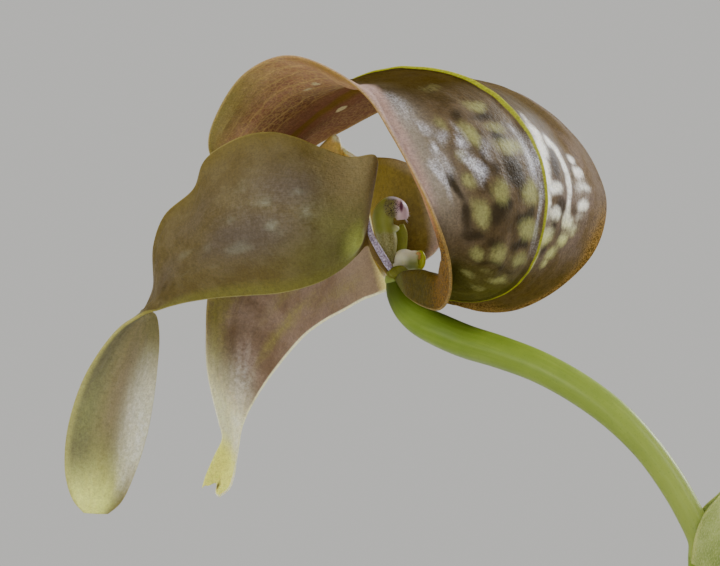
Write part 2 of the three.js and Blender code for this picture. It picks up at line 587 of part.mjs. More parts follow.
BULBS.forEach((bulb, i) => {
  const solid = solidFrom(bulbGeometry(bulb)).subtract(rhizomeRoom);
  addPiece(`pseudobulb_${i + 1}`, largestBody(solid), BULB_GREEN, 0.4);
  const leaf = solidFrom(leafGeometry(bulbTop(bulb), LEAVES[i]));
  addPiece(`leaf_${i + 1}`, largestBody(leaf.subtract(bulbRooms[i])), LEAF_GREEN, 0.35);
});
addPiece('new_shoot', largestBody(solidFrom(newShootGeometry()).subtract(rhizomeRoom)), BRACT_GREEN, 0.5);

const peduncle = largestBody(solidFrom(peduncleGeometry()).subtract(rhizomeRoom));
addPiece('peduncle', peduncle, STALK_GREEN, 0.4);
addPiece('peduncle_sheath_lower', sheathSolid(LOWER_SHEATH, GAP), BRACT_GREEN, 0.6);
addPiece('peduncle_sheath_upper', sheathSolid(UPPER_SHEATH, GAP), BRACT_GREEN, 0.6);
addPiece('ovary', ovarySolid(0), STALK_GREEN, 0.35);

addPiece('dorsal_sepal', sepalSolid([
  { ribs: [DORSAL_NEAR, DORSAL_CREST, DORSAL_MIDDLE, DORSAL_KEEL].map(placed), columns: 6 },
  { ribs: [DORSAL_KEEL, DORSAL_FAR_MIDDLE, DORSAL_FAR].map(placed), columns: 4 },
], { rows: 36, rise: KEEL_RISE }), DORSAL_BROWN, 0.45);

const nearMiddle = middleRib(NEAR_UPPER, NEAR_LOWER, NEAR_BULGE, BULGE_TO_NEAR_SIDE);
addPiece('lateral_sepal_near', sepalSolid([
  { ribs: [NEAR_UPPER, nearMiddle, NEAR_LOWER].map(placed), columns: 6 },
], { rows: 42 }), LATERAL_OLIVE, 0.45);

const farMiddle = middleRib(FAR_UPPER, FAR_LOWER, FAR_BULGE, BULGE_TO_FAR_SIDE);
addPiece('lateral_sepal_far', sepalSolid([
  { ribs: [FAR_UPPER, farMiddle, FAR_LOWER].map(placed), columns: 6 },
], { rows: 40 }), LATERAL_PINK, 0.45);

Object.entries({ petal_far: PETAL_FAR, petal_near: PETAL_NEAR }).forEach(([name, ribs]) => {
  const panels = [{ ribs: ribs.map(placed), columns: 2 }];
  addPiece(name, sepalSolid(panels, { rows: 8, thickness: 0.7, margin: 0.6 }), PETAL_GREEN, 0.45);
});
addPiece('lip', offDome(lipSolid()), LIP_GREEN, 0.3);
addPiece('column', offDome(columnSolid()), COLUMN_CREAM, 0.35);
addPiece('anther_cap', antherSolid(), ANTHER_ORANGE, 0.35);

const bract = solidFrom(blade([{ ribs: [BRACT_NEAR, BRACT_MIDDLE, BRACT_FAR].map(placed), columns: 8 }],
  { rows: 12, thickness: 0.8, margin: 0.7 }));
const stalkRoom = solidFrom(peduncleGeometry(GAP)).add(ovaryRoom);
addPiece('floral_bract', largestBody(bract.subtract(stalkRoom)), BRACT_GREEN, 0.5);

export default group;
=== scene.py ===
"""A potted Bulbophyllum grandiflorum in flower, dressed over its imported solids.

Lengths are in millimetres until build() makes the meshes, which are in metres. The flower's points are
measured from its receptacle, as in the solids.
"""

import math
import random

import bpy
import numpy as np
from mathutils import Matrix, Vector


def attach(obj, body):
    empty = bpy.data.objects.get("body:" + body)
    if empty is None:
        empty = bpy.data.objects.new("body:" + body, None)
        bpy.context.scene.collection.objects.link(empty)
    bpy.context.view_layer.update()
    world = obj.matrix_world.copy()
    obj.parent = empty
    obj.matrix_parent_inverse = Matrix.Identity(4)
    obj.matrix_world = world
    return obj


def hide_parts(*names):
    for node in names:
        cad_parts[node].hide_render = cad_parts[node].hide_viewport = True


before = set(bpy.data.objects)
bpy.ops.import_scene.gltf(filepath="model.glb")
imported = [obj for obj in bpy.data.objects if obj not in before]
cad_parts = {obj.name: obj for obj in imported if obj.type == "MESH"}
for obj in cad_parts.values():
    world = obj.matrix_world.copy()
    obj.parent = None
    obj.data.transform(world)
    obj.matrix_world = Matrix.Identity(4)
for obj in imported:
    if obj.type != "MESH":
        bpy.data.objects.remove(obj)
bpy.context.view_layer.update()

MM = 0.001
RECEPTACLE = np.array([-28.0, 10.0, 300.0])
TURN = 2 * math.pi
GOLDEN_ANGLE = 2.399963
UPRIGHT = (0, 0, 1)
# Directions that start the crosswise frames of an upright stem, and of fine hairs.
CROSSWISE = (0, 1, 0)
ASKEW = (0.3, 1, 0.1)

# Sepals.
SEPAL_THICKNESS = 0.95
MARGIN_THICKNESS = 0.55
KEEL_RISE = 0.55
KEEL_ACROSS = 0.6
# The dorsal sepal's long ridges, as shares of its width.
DORSAL_RIDGES = (0.27, 0.366, 0.45, 0.573, 0.70, 0.79)
RIDGE_HEIGHT = 0.2
RIDGE_WIDTH = 0.02
KNOB_HEIGHT = 1.3

# How much closer a blade's points lie near its ends and its margins.
ALONG_EASE = 0.2
ACROSS_EASE = 0.3

# Pot and mix.
POT_TOP_RADIUS = 66.0
POT_BASE_RADIUS = 46.0
POT_HEIGHT = 98.0
POT_WALL = 5.0
POT_FLOOR = 6.0
INNER_TOP_RADIUS = POT_TOP_RADIUS - POT_WALL - 2
INNER_BASE_RADIUS = POT_BASE_RADIUS - POT_WALL + 1
CORNER_RADIUS = 1.8
RIM_HEIGHT = 22.0
RIM_STEP = 3.0
DRAIN_HOLE_RADIUS = 4.5
DRAIN_HOLE_CIRCLE = 22.0
DRAIN_HOLES = 4
MIX_TOP = 86.0
BARK_CHIPS = 260
PUMICE_BITS = 30
PUMICE_REACH = 52
MOSS_TUFTS = 26
MOSS_STRANDS = 46
MOSS_REACH = 53

# Camera, its place in millimetres from the receptacle.
CAMERA_OFFSET = np.array([-5.76, -600.0, -0.9])
LENS = 166.67
SENSOR = 36.0

# The floor, in metres, fades into the even backdrop between two distances from the pot.
FLOOR_RADIUS = 60.0
FADE_START = 0.7
FADE_END = 2.4
FLOOR_TONES = ("e4e2dc", "dedcd6")
WORLD_TONE = "e9e8e4"
WORLD_STRENGTH = 0.72

# Lamps: name, place in metres from the receptacle, width in metres, power in watts, colour.
LAMPS = [
    ("key", (0.55, -0.55, 0.8), 0.35, 6.5, (1.0, 0.97, 0.93)),
    ("rim", (0.7, 0.6, 0.5), 0.35, 9.0, (0.95, 0.97, 1.0)),
    ("left", (-0.75, -0.45, 0.45), 0.5, 3.5, (0.96, 0.97, 1.0)),
    ("front", (-0.2, -0.85, 0.05), 0.4, 1.2, (1.0, 0.98, 0.95)),
]

# The flower's tissue lets light through a little, in these depths for red, green and blue.
TISSUE_GLOSS = 0.22
TISSUE = {
    "Subsurface Weight": 0.5,
    "Subsurface Radius": (1.0, 0.85, 0.4),
    "Subsurface Scale": 0.0011,
    "Specular IOR Level": TISSUE_GLOSS,
}
LEAF_LOOK = {"Specular IOR Level": 0.5}

# Ribs of the sepals, from the receptacle to the tip, and how far a middle rib bulges.
DORSAL_NEAR = [
    [0.6, -1.6, -0.3], [2.7, -10, -3.4], [5.3, -16, -5.1], [8.1, -22, -5.6], [9.7, -29, -2.6],
    [9.2, -36, 3.7], [6.2, -38.5, 11.7], [3, -36, 18.2], [0, -33.5, 23.7], [-4.4, -29.5, 30.8],
    [-10.6, -23.7, 35.9], [-18.9, -14.3, 39], [-26.3, -4.8, 36.6], [-31.3, 4.5, 30.8],
    [-33.8, 16, 24], [-31.5, 22, 18.3],
]
DORSAL_CREST = [
    [0.8, -1.2, -0.3], [2.2, -8, 0.9], [5.5, -13, 1], [8.2, -19, 0.1], [8.4, -28, 2.2],
    [8.2, -34.5, 5.2], [5.9, -37, 12.6], [3.1, -34, 19.5], [0.4, -31, 25.2], [-3.7, -26.5, 32],
    [-7.7, -19, 33.4], [-14.3, -9.5, 36.8], [-22, 0, 34.6], [-27.5, 8.5, 29.2],
    [-31, 17.5, 23.4], [-30.2, 22.5, 18],
]
DORSAL_MIDDLE = [
    [1, -0.8, -0.4], [4, -8, -1.1], [8.3, -13, -1.6], [12.2, -18.5, -2.1], [15.6, -25.5, -0.7],
    [17.5, -30.5, 4.1], [17.7, -33, 12.4], [15.7, -32, 20.1], [11.6, -27.5, 27.3],
    [5.4, -20, 33.2], [-1.7, -11, 35], [-11.2, -1, 34.3], [-17.4, 6, 32.4], [-23.4, 12.5, 27.8],
    [-27.5, 19, 22.3], [-28.8, 23.5, 17.6],
]
DORSAL_KEEL = [
    [1.2, -0.4, -0.5], [5.8, -5, -2.7], [10.4, -8.6, -3.4], [15.4, -13, -3.4], [20.6, -17.5, -1.2],
    [24, -20.5, 3.1], [26, -22.2, 12.6], [25, -21.4, 20.8], [20.6, -17.5, 28.8], [12.9, -11, 34.7],
    [3.2, -2.7, 37], [-5.8, 4.9, 35.9], [-13.1, 11, 31.5], [-19.3, 16.2, 26.6],
    [-24, 20.3, 21.4], [-27.1, 24, 17.3],
]
DORSAL_FAR_MIDDLE = [
    [1.2, 0.1, -0.4], [8.2, -3, -3.6], [12.8, -5, -4.8], [18.7, -8, -4.8], [25.7, -10.5, -2.1],
    [31.1, -12, 4.4], [33.4, -12, 12.9], [32.2, -9.5, 20.4], [27.6, -5, 28], [18.8, 1, 34.3],
    [7, 9, 36.6], [-2.1, 16, 34.4], [-10.6, 21, 30.2], [-16.6, 25, 26.1], [-21.7, 26.5, 21.3],
    [-26, 26, 17.1],
]
DORSAL_FAR = [
    [1.1, 0.6, -0.3], [10.8, -1, -3.8], [15.4, -2, -5.7], [22, -3.5, -5.6], [29.6, -4, -1.8],
    [36.4, -2, 5.2], [38.6, 1, 12.6], [37.5, 4, 18.5], [33.3, 9, 25.8], [24.1, 14, 33.5],
    [11.9, 21, 36.5], [0.8, 27, 32.8], [-8.6, 32, 28.3], [-14.9, 35, 25], [-20, 33, 20.9],
    [-24.9, 27, 17],
]
NEAR_UPPER = [
    [-0.5, -1.3, 1.6], [-3.8, -6.2, 8.2], [-4.7, -7.8, 13], [-2.9, -9.8, 21.6], [-7.5, -10.6, 21.4],
    [-12.8, -11.3, 23.1], [-17.1, -10.9, 24.9], [-22.1, -9, 25.9], [-27.5, -7, 24.9],
    [-33.5, -4.4, 21.1], [-35.3, -3.5, 16.3], [-40.9, 0.5, 11.4], [-43, 3, 6],
    [-43.2, 6.5, -1.3], [-44.5, 9.5, -4.9], [-44.3, 11.5, -5.9], [-43.3, 13.5, -6.8],
    [-42.8, 15, -10.5], [-43.3, 17, -17], [-44.3, 18, -24.4], [-45.5, 18.5, -30],
    [-47.7, 19, -36.6], [-50.1, 19, -41.6], [-52.6, 19, -43.8],
]
NEAR_LOWER = [
    [-0.9, -1.2, 0.4], [-2.9, -3.5, 2.9], [-4.5, -5, 5.7], [-6.5, -6.5, 3.9], [-8.6, -7.3, 1.9],
    [-11.4, -8, 0], [-14.6, -8.3, -1.4], [-20, -7, -2.7], [-26.5, -3, -3.2], [-31.5, -1, -3.6],
    [-36.4, 1.5, -4.3], [-38.7, 3, -4.8], [-40.6, 4, -5.3], [-42.4, 5, -5.9], [-44.7, 6, -6.4],
    [-46.9, 7, -7.4], [-49.8, 8.5, -9.3], [-53.3, 10, -13.2], [-56.7, 12.5, -18.7],
    [-59.3, 15, -25.8], [-60.4, 17, -31.8], [-60.3, 18, -37.1], [-59, 18.5, -41.2],
    [-57, 19, -43.6],
]
NEAR_BULGE = [
    0, 0.4, 0.6, 2, 3.4, 4.6, 5.4, 5.6, 4.8, 3.6, 2.8, 2, 1.4, 0.8, 0.2, 0.2, 0.6, 1.6, 2.4, 2.8,
    2.8, 2.4, 1.4, 0.8,
]
FAR_UPPER = [
    [1.3, 1.3, 0.5], [8.8, 5.5, 6], [8.6, 8, 13.3], [5.8, 9, 19.4], [1.6, 11, 21.6],
    [-2.8, 17, 22.4], [-5.6, 21.5, 22.4], [-7.6, 24, 23.6], [-9.3, 25, 25], [-10.3, 25, 27],
    [-12.9, 25.6, 25.2], [-18.0, 29.3, 18.5], [-24.3, 32, 12], [-30.1, 34, 5.5], [-34.3, 35, -1.3],
    [-35.3, 38, -10.9], [-35.2, 41, -17.6], [-34.2, 44, -23.5], [-33.3, 46, -27.5],
    [-32.6, 47.5, -31], [-34.2, 49, -34.6], [-35.8, 50, -38.1], [-36.4, 50.5, -40.1],
]
FAR_LOWER = [
    [0.4, 1.7, 0.8], [0, 3.5, 2.5], [-1.4, 6, 4.4], [-3.2, 8.5, 5.7], [-3.9, 10.5, 5.3],
    [-3.2, 11.5, 3.5], [-1.5, 12, 0.4], [-0.2, 12.5, -1.8], [-2.6, 13.5, -3.1], [-5, 16, -4],
    [-8.7, 21, -6.1], [-12.5, 27, -8.2], [-16, 32, -10.8], [-19.1, 37, -14.1], [-22.7, 41, -18.6],
    [-25.5, 44.5, -22.7], [-27.7, 46.5, -26.7], [-28.7, 47.5, -29.5], [-29.2, 48.5, -32.4],
    [-29.7, 49, -35.6], [-30.2, 49.5, -38.5], [-30.9, 50, -40.9], [-32.7, 50.5, -42.4],
]
FAR_BULGE = [
    0, 1.2, 2, 2.4, 2.2, 1.6, 1, 0.6, 0.4, 0.4, 1, 1.8, 2.4, 2.6, 2.4, 2, 1.6, 1.2, 0.8, 0.6, 0.8,
    0.8, 0.4,
]
# The rolled rim where the near lateral sepal lines the mouth: x, y, z and radius.
NEAR_BEAD = [
    [-3.2, -9.9, 21.4, 0.25], [-4.1, -8.9, 17.5, 0.32], [-4.7, -8.0, 13, 0.4], [-4.4, -7.2, 9.8, 0.5],
    [-3.6, -6.3, 7.2, 0.55], [-2.5, -5.2, 5.2, 0.6], [-1.5, -4.0, 3.6, 0.62], [-0.7, -2.9, 2.3, 0.62],
    [0.1, -2.2, 1.2, 0.5],
]
# Stalks and sheaths: x, y, z and radius.
OVARY_PATH = [
    [51.3, -42.4, -43.7, 2.3], [49.5, -41.5, -39.6, 2.3], [46.8, -40, -34.7, 2.35],
    [42.8, -38, -29, 2.4], [37.8, -35, -23.7, 2.6], [32, -31, -19.3, 2.7], [25.4, -26, -15.6, 2.75],
    [18.8, -20, -13.1, 2.85], [12.9, -14, -11.3, 2.95], [8.6, -10, -9.5, 2.95],
    [5.1, -6, -7.7, 2.75], [2.7, -3, -5.6, 2.4], [1.1, -1, -2.9, 2.0], [0.4, 0, -0.4, 1.5],
]
PEDUNCLE_PATH = [
    [29.5, -4.6, -213, 2.9], [30, -7.4, -203, 2.8], [34, -16, -175, 2.6],
    [41.6, -27.6, -135, 2.5], [47.8, -36.2, -95, 2.6], [50.6, -40.6, -70, 2.7],
    [51.7, -42.4, -54, 2.8], [51.8, -42.7, -46.6, 2.7],
]
LOWER_SHEATH = [
    [30.4, -8.5, -199, 3.7], [32, -12.2, -187, 3.9], [34.1, -16.2, -174.5, 4.2],
    [36.4, -19.9, -162, 4.6],
]
UPPER_SHEATH = [
    [45.1, -31.9, -116, 3.5], [46.6, -34.4, -104, 3.7], [48.2, -36.9, -92, 4], [49.6, -39.1, -80, 4.5],
]
# Each petal's two ribs.
PETAL_FAR = [
    [[0.9, 1.5, 1.6], [0.6, 2.1, 3.6], [0.5, 2.4, 6], [0.7, 2.6, 8.2], [1.4, 2.6, 9.7]],
    [[1.9, 1.3, 1.5], [2.3, 2, 3.6], [2.8, 2.4, 6], [2.8, 2.6, 8.2], [2.2, 2.6, 9.8]],
]
PETAL_NEAR = [
    [[0.1, -2, 1.6], [0.5, -2.9, 2.5], [1.2, -3.4, 3], [2.1, -3.7, 3], [2.7, -3.8, 2.6]],
    [[0.6, -2.1, 0.5], [1.1, -3, 1.1], [1.8, -3.5, 1.5], [2.5, -3.7, 1.8], [2.9, -3.8, 2]],
]
NODE_PATH = [[51.8, -42.7, -47.2, 2.75], [51.7, -42.6, -45.6, 2.6]]
DOME_CENTRE = [0.3, -0.2, -0.3]
DOME_RADII = (1.6, 1.6, 1.6)
# Sheaths on the peduncle: node, path and the angle of the seam.
SHEATHS = [("peduncle_sheath_lower", LOWER_SHEATH, 0.4), ("peduncle_sheath_upper", UPPER_SHEATH, 2.2)]
# Bodies that fill the near petal's foot: centre and radii.
PETAL_LOBES = [
    ([1.1, -2.8, 1.1], (1.7, 0.8, 1.1)),
    ([2.3, -3.2, 0.8], (1.3, 0.6, 0.8)),
    ([-0.1, -2.0, 0.8], (0.9, 0.8, 0.9)),
]
# Petals: node, ribs, bodies at the foot, shift, and two colours. The far petal's colours are painted lighter
# than the near one's, as painted light, since it lies in shade.
PETALS = [
    ("petal_far", PETAL_FAR, [], [0, 0, 0], "7d8428", "a9ac48"),
    ("petal_near", PETAL_NEAR, PETAL_LOBES, [-0.1, 0.1, -0.8], "56560f", "84851f"),
]
# Lip: x, y, z and radius.
LIP_SKIN_PATH = [
    [-0.4, -0.3, 2.4, 0.9], [-0.7, -0.3, 3.6, 1.3], [-0.8, -0.4, 5.2, 1.65], [-0.9, -0.5, 7.0, 1.85],
    [-1.5, -0.5, 9.4, 1.8], [-1.5, -0.5, 11.4, 1.95], [-0.3, -0.5, 12.9, 1.75],
    [1.1, -0.5, 12.5, 1.65], [1.7, -0.5, 11.3, 1.35], [1.8, -0.5, 10.5, 0.95],
]
LIP_LOBE = [-0.1, -1.2, 8.9]
LIP_LOBE_RADII = [1.45, 0.85, 0.75]
LIP_HAIRS = 40
# Patches on the lip, seen from its near side: place and reach in x and z.
LIP_FRECKLES = ((-0.1, 12.7), (1.5, 1.9))
LIP_GROOVE = ((1.65, 12.9), (0.35, 1.1))
# Column and the rim of its hollow end: x, y, z and radius.
COLUMN_SKIN_PATH = [
    [1.0, 0.2, 1.7, 0.8], [1.5, 0.1, 3.0, 1.5], [2.1, 0, 3.5, 1.7], [3.1, 0, 3.2, 1.75], [4.2, 0, 3.2, 1.72],
    [5.0, 0, 3.0, 1.7], [5.5, 0, 2.95, 1.45],
]
CUP_RIM = [
    [4.7, -0.5, 4.75, 0.25], [5.3, -0.9, 4.6, 0.32], [5.65, -1.1, 3.9, 0.36], [5.7, -1.2, 3.1, 0.38],
    [5.5, -1.2, 2.2, 0.38], [5.1, -1.0, 1.6, 0.3],
]
CUP_HOLLOW = [5.0, -1.8, 3.2]
CUP_HOLLOW_RADII = (0.42, 0.7, 1.15)
CAP_CENTRE = [4.75, -1.0, 3.95]
CAP_RADII = (0.62, 0.5, 0.75)
# Ribs of the bract.
BRACT_NEAR = [
    [49.2, -46.4, -47.4], [49.8, -46.7, -43.2], [51.2, -46.2, -39.6], [54.0, -44.7, -36.4],
    [58.6, -43, -31.8],
]
BRACT_MIDDLE = [
    [56.2, -42.8, -51.5], [57.2, -42.8, -46], [58.8, -42.7, -40.5], [60.6, -42.6, -35.5],
    [61.2, -42.5, -30.4],
]
BRACT_FAR = [
    [49.9, -38.4, -47], [50.3, -38.2, -42.5], [51.8, -39, -38.9], [54.4, -40.4, -36.2],
    [58.8, -42, -31.8],
]
# Growths on the mix, measured from the centre of the pot's base.
RHIZOME_PATH = [
    [-47, 19, 84.5], [-37, 15.5, 85.5], [-26, 13, 85], [-15, 11, 85.5], [0.5, 6, 85], [16, 0, 85.5],
    [26, -5, 85], [35, -9.5, 85.5], [43, -13.5, 85.5], [50, -16.5, 87],
]
RHIZOME_RADIUS = 3.6
RHIZOME_RINGS = 12
ROOT_RADIUS = 1.0
ROOTS = [
    [[-44, 17, 84], [-47, 8, 87], [-45, -2, 87.2], [-41, -8, 84]],
    [[-29, 13, 84], [-26, 24, 87], [-20, 32, 87.4], [-16, 38, 84]],
    [[-16, 10, 84], [-18, 0, 87], [-24, -8, 87.2], [-30, -16, 84]],
    [[-1, 6, 84], [4, 16, 87], [12, 24, 87.4], [14, 32, 84]],
    [[11, 2, 84], [8, -8, 87], [0, -16, 87.4], [-6, -26, 84]],
    [[28, -6, 84], [35, 3, 87], [40, 12, 87.2], [38, 20, 84]],
    [[38, -11, 84], [36, -21, 87], [29, -29, 87.2], [23, -36, 84]],
]
# Pseudobulbs: x, y, height scale, radius scale, turn of the angles.
BULBS = [
    [-37, 15.5, 0.86, 0.92, 0.2], [-15, 11, 0.94, 1.0, 0.9], [16, 0, 1.0, 0.96, 0.5],
    [35, -9.5, 0.97, 0.88, 1.3],
]
BULB_FOOT = 86.5
BULB_HEIGHT = 34.0
BULB_RADIUS = 9.8
BULB_PROFILE = [
    [0, 0.42], [0.1, 0.72], [0.25, 0.98], [0.42, 1.0], [0.6, 0.86], [0.78, 0.6], [0.92, 0.36],
    [1, 0.24],
]
# Leaves: azimuth, lean, further bend, length, twist.
LEAVES = [[168, 14, 34, 118, -8], [112, 10, 30, 128, 6], [48, 12, 32, 132, -5], [-28, 16, 36, 124, 9]]
LEAF_WIDTH = 36.0
LEAF_THICKNESS = 1.2
LEAF_MARGIN = 0.9
LEAF_STATIONS = [
    [0, 0.13], [0.06, 0.12], [0.13, 0.16], [0.22, 0.48], [0.34, 0.8], [0.48, 0.98], [0.62, 1.0],
    [0.76, 0.86], [0.88, 0.58], [0.96, 0.3], [1, 0.1],
]
# New shoot: x, y, z and radius.
SHOOT_PATH = [
    [50, -16.5, 88.5, 1.8], [50.4, -16.8, 92, 2.9], [50.9, -17.4, 96, 3.2], [51.6, -18.2, 101, 2.5],
    [52.2, -19, 106, 1.5], [52.6, -19.6, 109.5, 0.5],
]

# Marks on the sepals: along, across, half length, half width, strength.
DORSAL_WINDOWS = [
    (0.547, 0.480, 0.009, 0.040, 0.8), (0.512, 0.485, 0.009, 0.036, 0.7), (0.482, 0.498, 0.012, 0.046, 1.0),
    (0.503, 0.392, 0.019, 0.022, 1.0), (0.529, 0.338, 0.013, 0.018, 0.6), (0.471, 0.335, 0.010, 0.016, 0.6),
    (0.436, 0.340, 0.013, 0.017, 0.8), (0.419, 0.412, 0.017, 0.025, 0.9), (0.387, 0.350, 0.019, 0.024, 1.0),
    (0.417, 0.534, 0.017, 0.040, 1.0), (0.370, 0.530, 0.012, 0.045, 1.0), (0.327, 0.336, 0.011, 0.021, 0.9),
    (0.334, 0.405, 0.015, 0.031, 0.9), (0.330, 0.515, 0.012, 0.046, 0.9), (0.273, 0.322, 0.012, 0.030, 0.7),
    (0.281, 0.462, 0.011, 0.050, 0.8), (0.300, 0.380, 0.008, 0.030, 0.4), (0.245, 0.400, 0.010, 0.050, 0.5),
    (0.590, 0.400, 0.009, 0.050, 0.35),
]
DORSAL_DARKS = [
    (0.445, 0.478, 0.027, 0.038, 1.0), (0.497, 0.470, 0.011, 0.034, 0.9), (0.387, 0.508, 0.010, 0.040, 1.0),
    (0.390, 0.406, 0.012, 0.032, 1.0), (0.350, 0.497, 0.009, 0.045, 1.0), (0.360, 0.320, 0.011, 0.032, 0.8),
    (0.425, 0.305, 0.024, 0.013, 0.9), (0.385, 0.308, 0.022, 0.015, 0.8), (0.352, 0.385, 0.011, 0.028, 0.7),
    (0.440, 0.383, 0.020, 0.010, 0.7), (0.530, 0.475, 0.008, 0.045, 0.8), (0.538, 0.390, 0.011, 0.032, 0.7),
    (0.452, 0.410, 0.012, 0.018, 0.6), (0.313, 0.400, 0.007, 0.080, 0.7), (0.310, 0.500, 0.006, 0.050, 0.6),
    (0.645, 0.470, 0.020, 0.090, 0.4), (0.480, 0.560, 0.006, 0.016, 0.3), (0.450, 0.387, 0.100, 0.006, 0.55),
    (0.440, 0.466, 0.110, 0.007, 0.55), (0.420, 0.315, 0.080, 0.007, 0.5), (0.360, 0.500, 0.060, 0.005, 0.4),
    (0.455, 0.668, 0.027, 0.030, 1.0), (0.401, 0.676, 0.016, 0.032, 1.0), (0.374, 0.648, 0.011, 0.024, 0.8),
    (0.347, 0.630, 0.008, 0.020, 0.8), (0.450, 0.748, 0.032, 0.012, 0.6), (0.390, 0.755, 0.011, 0.026, 0.6),
    (0.497, 0.668, 0.006, 0.018, 0.5), (0.372, 0.690, 0.014, 0.007, 0.6), (0.415, 0.845, 0.009, 0.030, 0.4),
]
# The dorsal far half's pale windows; their near-white tone is partly painted light shining through them.
DORSAL_WHITES = [
    (0.500, 0.640, 0.013, 0.022, 0.9), (0.482, 0.635, 0.015, 0.024, 1.0), (0.460, 0.624, 0.018, 0.020, 1.0),
    (0.438, 0.622, 0.017, 0.015, 1.0), (0.422, 0.646, 0.009, 0.032, 1.0), (0.490, 0.690, 0.009, 0.018, 0.9),
    (0.478, 0.710, 0.013, 0.013, 1.0), (0.455, 0.718, 0.018, 0.012, 1.0), (0.430, 0.721, 0.018, 0.013, 1.0),
    (0.402, 0.716, 0.020, 0.010, 0.9), (0.382, 0.713, 0.011, 0.017, 1.0), (0.470, 0.780, 0.007, 0.022, 0.9),
    (0.449, 0.792, 0.009, 0.028, 1.0), (0.427, 0.800, 0.008, 0.044, 0.6), (0.399, 0.797, 0.009, 0.030, 0.9),
    (0.383, 0.780, 0.008, 0.030, 0.4), (0.376, 0.724, 0.009, 0.024, 0.9), (0.367, 0.760, 0.008, 0.034, 0.6),
    (0.389, 0.652, 0.008, 0.026, 0.9), (0.405, 0.618, 0.021, 0.012, 0.8), (0.363, 0.628, 0.010, 0.028, 0.9),
    (0.354, 0.718, 0.008, 0.024, 0.9), (0.338, 0.685, 0.010, 0.026, 0.8), (0.322, 0.668, 0.010, 0.020, 0.6),
    (0.325, 0.614, 0.028, 0.008, 0.8), (0.520, 0.640, 0.014, 0.012, 0.5),
]
# Painted highlights on the dorsal sepal: bluish-white glints along its ridges and beside its keel.
DORSAL_PAINTED_GLINTS = [
    (0.485, 0.278, 0.014, 0.012, 1.0), (0.440, 0.279, 0.036, 0.010, 0.9), (0.492, 0.361, 0.013, 0.011, 1.0),
    (0.452, 0.366, 0.028, 0.012, 1.0), (0.460, 0.575, 0.036, 0.028, 1.0), (0.503, 0.555, 0.009, 0.016, 0.8),
    (0.400, 0.580, 0.052, 0.014, 0.7), (0.460, 0.298, 0.018, 0.016, 0.5), (0.477, 0.412, 0.014, 0.020, 0.5),
    (0.520, 0.290, 0.014, 0.016, 0.7), (0.497, 0.315, 0.012, 0.018, 0.5), (0.560, 0.260, 0.030, 0.040, 0.4),
    (0.510, 0.370, 0.030, 0.012, 0.4), (0.430, 0.790, 0.050, 0.050, 0.4),
]
INNER_PALES = [
    (0.784, 0.735, 0.009, 0.018, 0.9), (0.740, 0.300, 0.008, 0.012, 0.8), (0.760, 0.330, 0.010, 0.010, 0.7),
    (0.730, 0.240, 0.012, 0.008, 0.5),
]
NEAR_PALES = [
    (0.305, 0.585, 0.012, 0.040, 0.9), (0.350, 0.690, 0.016, 0.034, 0.6), (0.255, 0.500, 0.012, 0.040, 0.7),
    (0.315, 0.430, 0.012, 0.034, 0.7), (0.265, 0.370, 0.010, 0.034, 0.6), (0.365, 0.500, 0.010, 0.028, 0.5),
    (0.445, 0.550, 0.011, 0.034, 0.4), (0.400, 0.620, 0.010, 0.028, 0.4), (0.390, 0.760, 0.011, 0.028, 0.3),
    (0.340, 0.320, 0.010, 0.028, 0.3), (0.220, 0.280, 0.010, 0.034, 0.3), (0.450, 0.720, 0.011, 0.028, 0.3),
]
# Painted highlights on the near lateral sepal: the white pebbled sheen on its blade.
NEAR_PAINTED_GLINTS = [
    (0.280, 0.480, 0.080, 0.180, 0.04), (0.855, 0.090, 0.045, 0.090, 0.95), (0.840, 0.200, 0.050, 0.090, 0.6),
    (0.900, 0.160, 0.030, 0.070, 0.6),
]
NEAR_MAUVES = [
    (0.340, 0.620, 0.080, 0.160, 0.8), (0.270, 0.350, 0.070, 0.150, 0.7), (0.420, 0.350, 0.060, 0.160, 0.5),
    (0.500, 0.600, 0.060, 0.160, 0.6), (0.550, 0.350, 0.050, 0.160, 0.5), (0.700, 0.500, 0.050, 0.260, 0.6),
    (0.790, 0.420, 0.080, 0.190, 0.9), (0.930, 0.240, 0.040, 0.140, 0.9),
]
NEAR_GREENS = [
    (0.185, 0.600, 0.060, 0.200, 0.6), (0.220, 0.820, 0.070, 0.180, 0.5), (0.160, 0.800, 0.040, 0.220, 1.0),
    (0.830, 0.800, 0.050, 0.200, 0.5), (0.870, 0.600, 0.030, 0.200, 0.4),
]
# Painted shadow at the side of the knob.
NEAR_SHADES = [(0.196, 0.800, 0.030, 0.110, 0.8), (0.230, 0.880, 0.030, 0.100, 0.3)]
# Painted highlight on the knob near the near sepal's foot, over its own pale green.
NEAR_KNOB_HIGHLIGHT = [(0.147, 0.790, 0.022, 0.120, 0.9)]
# Painted highlights on the far lateral sepal: the whitish sheen on its lower part.
FAR_PAINTED_GLINTS = [
    (0.705, 0.650, 0.036, 0.180, 0.6), (0.765, 0.780, 0.040, 0.160, 0.6), (0.640, 0.550, 0.030, 0.150, 0.05),
    (0.820, 0.850, 0.050, 0.140, 0.6),
]
FAR_GREENS = [
    (0.515, 0.600, 0.060, 0.060, 0.6), (0.585, 0.800, 0.060, 0.050, 0.6), (0.400, 0.350, 0.060, 0.050, 0.5),
    (0.680, 0.120, 0.120, 0.140, 0.8), (0.480, 0.120, 0.120, 0.100, 0.5), (0.740, 0.330, 0.060, 0.100, 0.5),
    (0.450, 0.880, 0.060, 0.040, 0.4),
]
FAR_DARKS = [(0.985, 0.560, 0.018, 0.080, 0.9)]
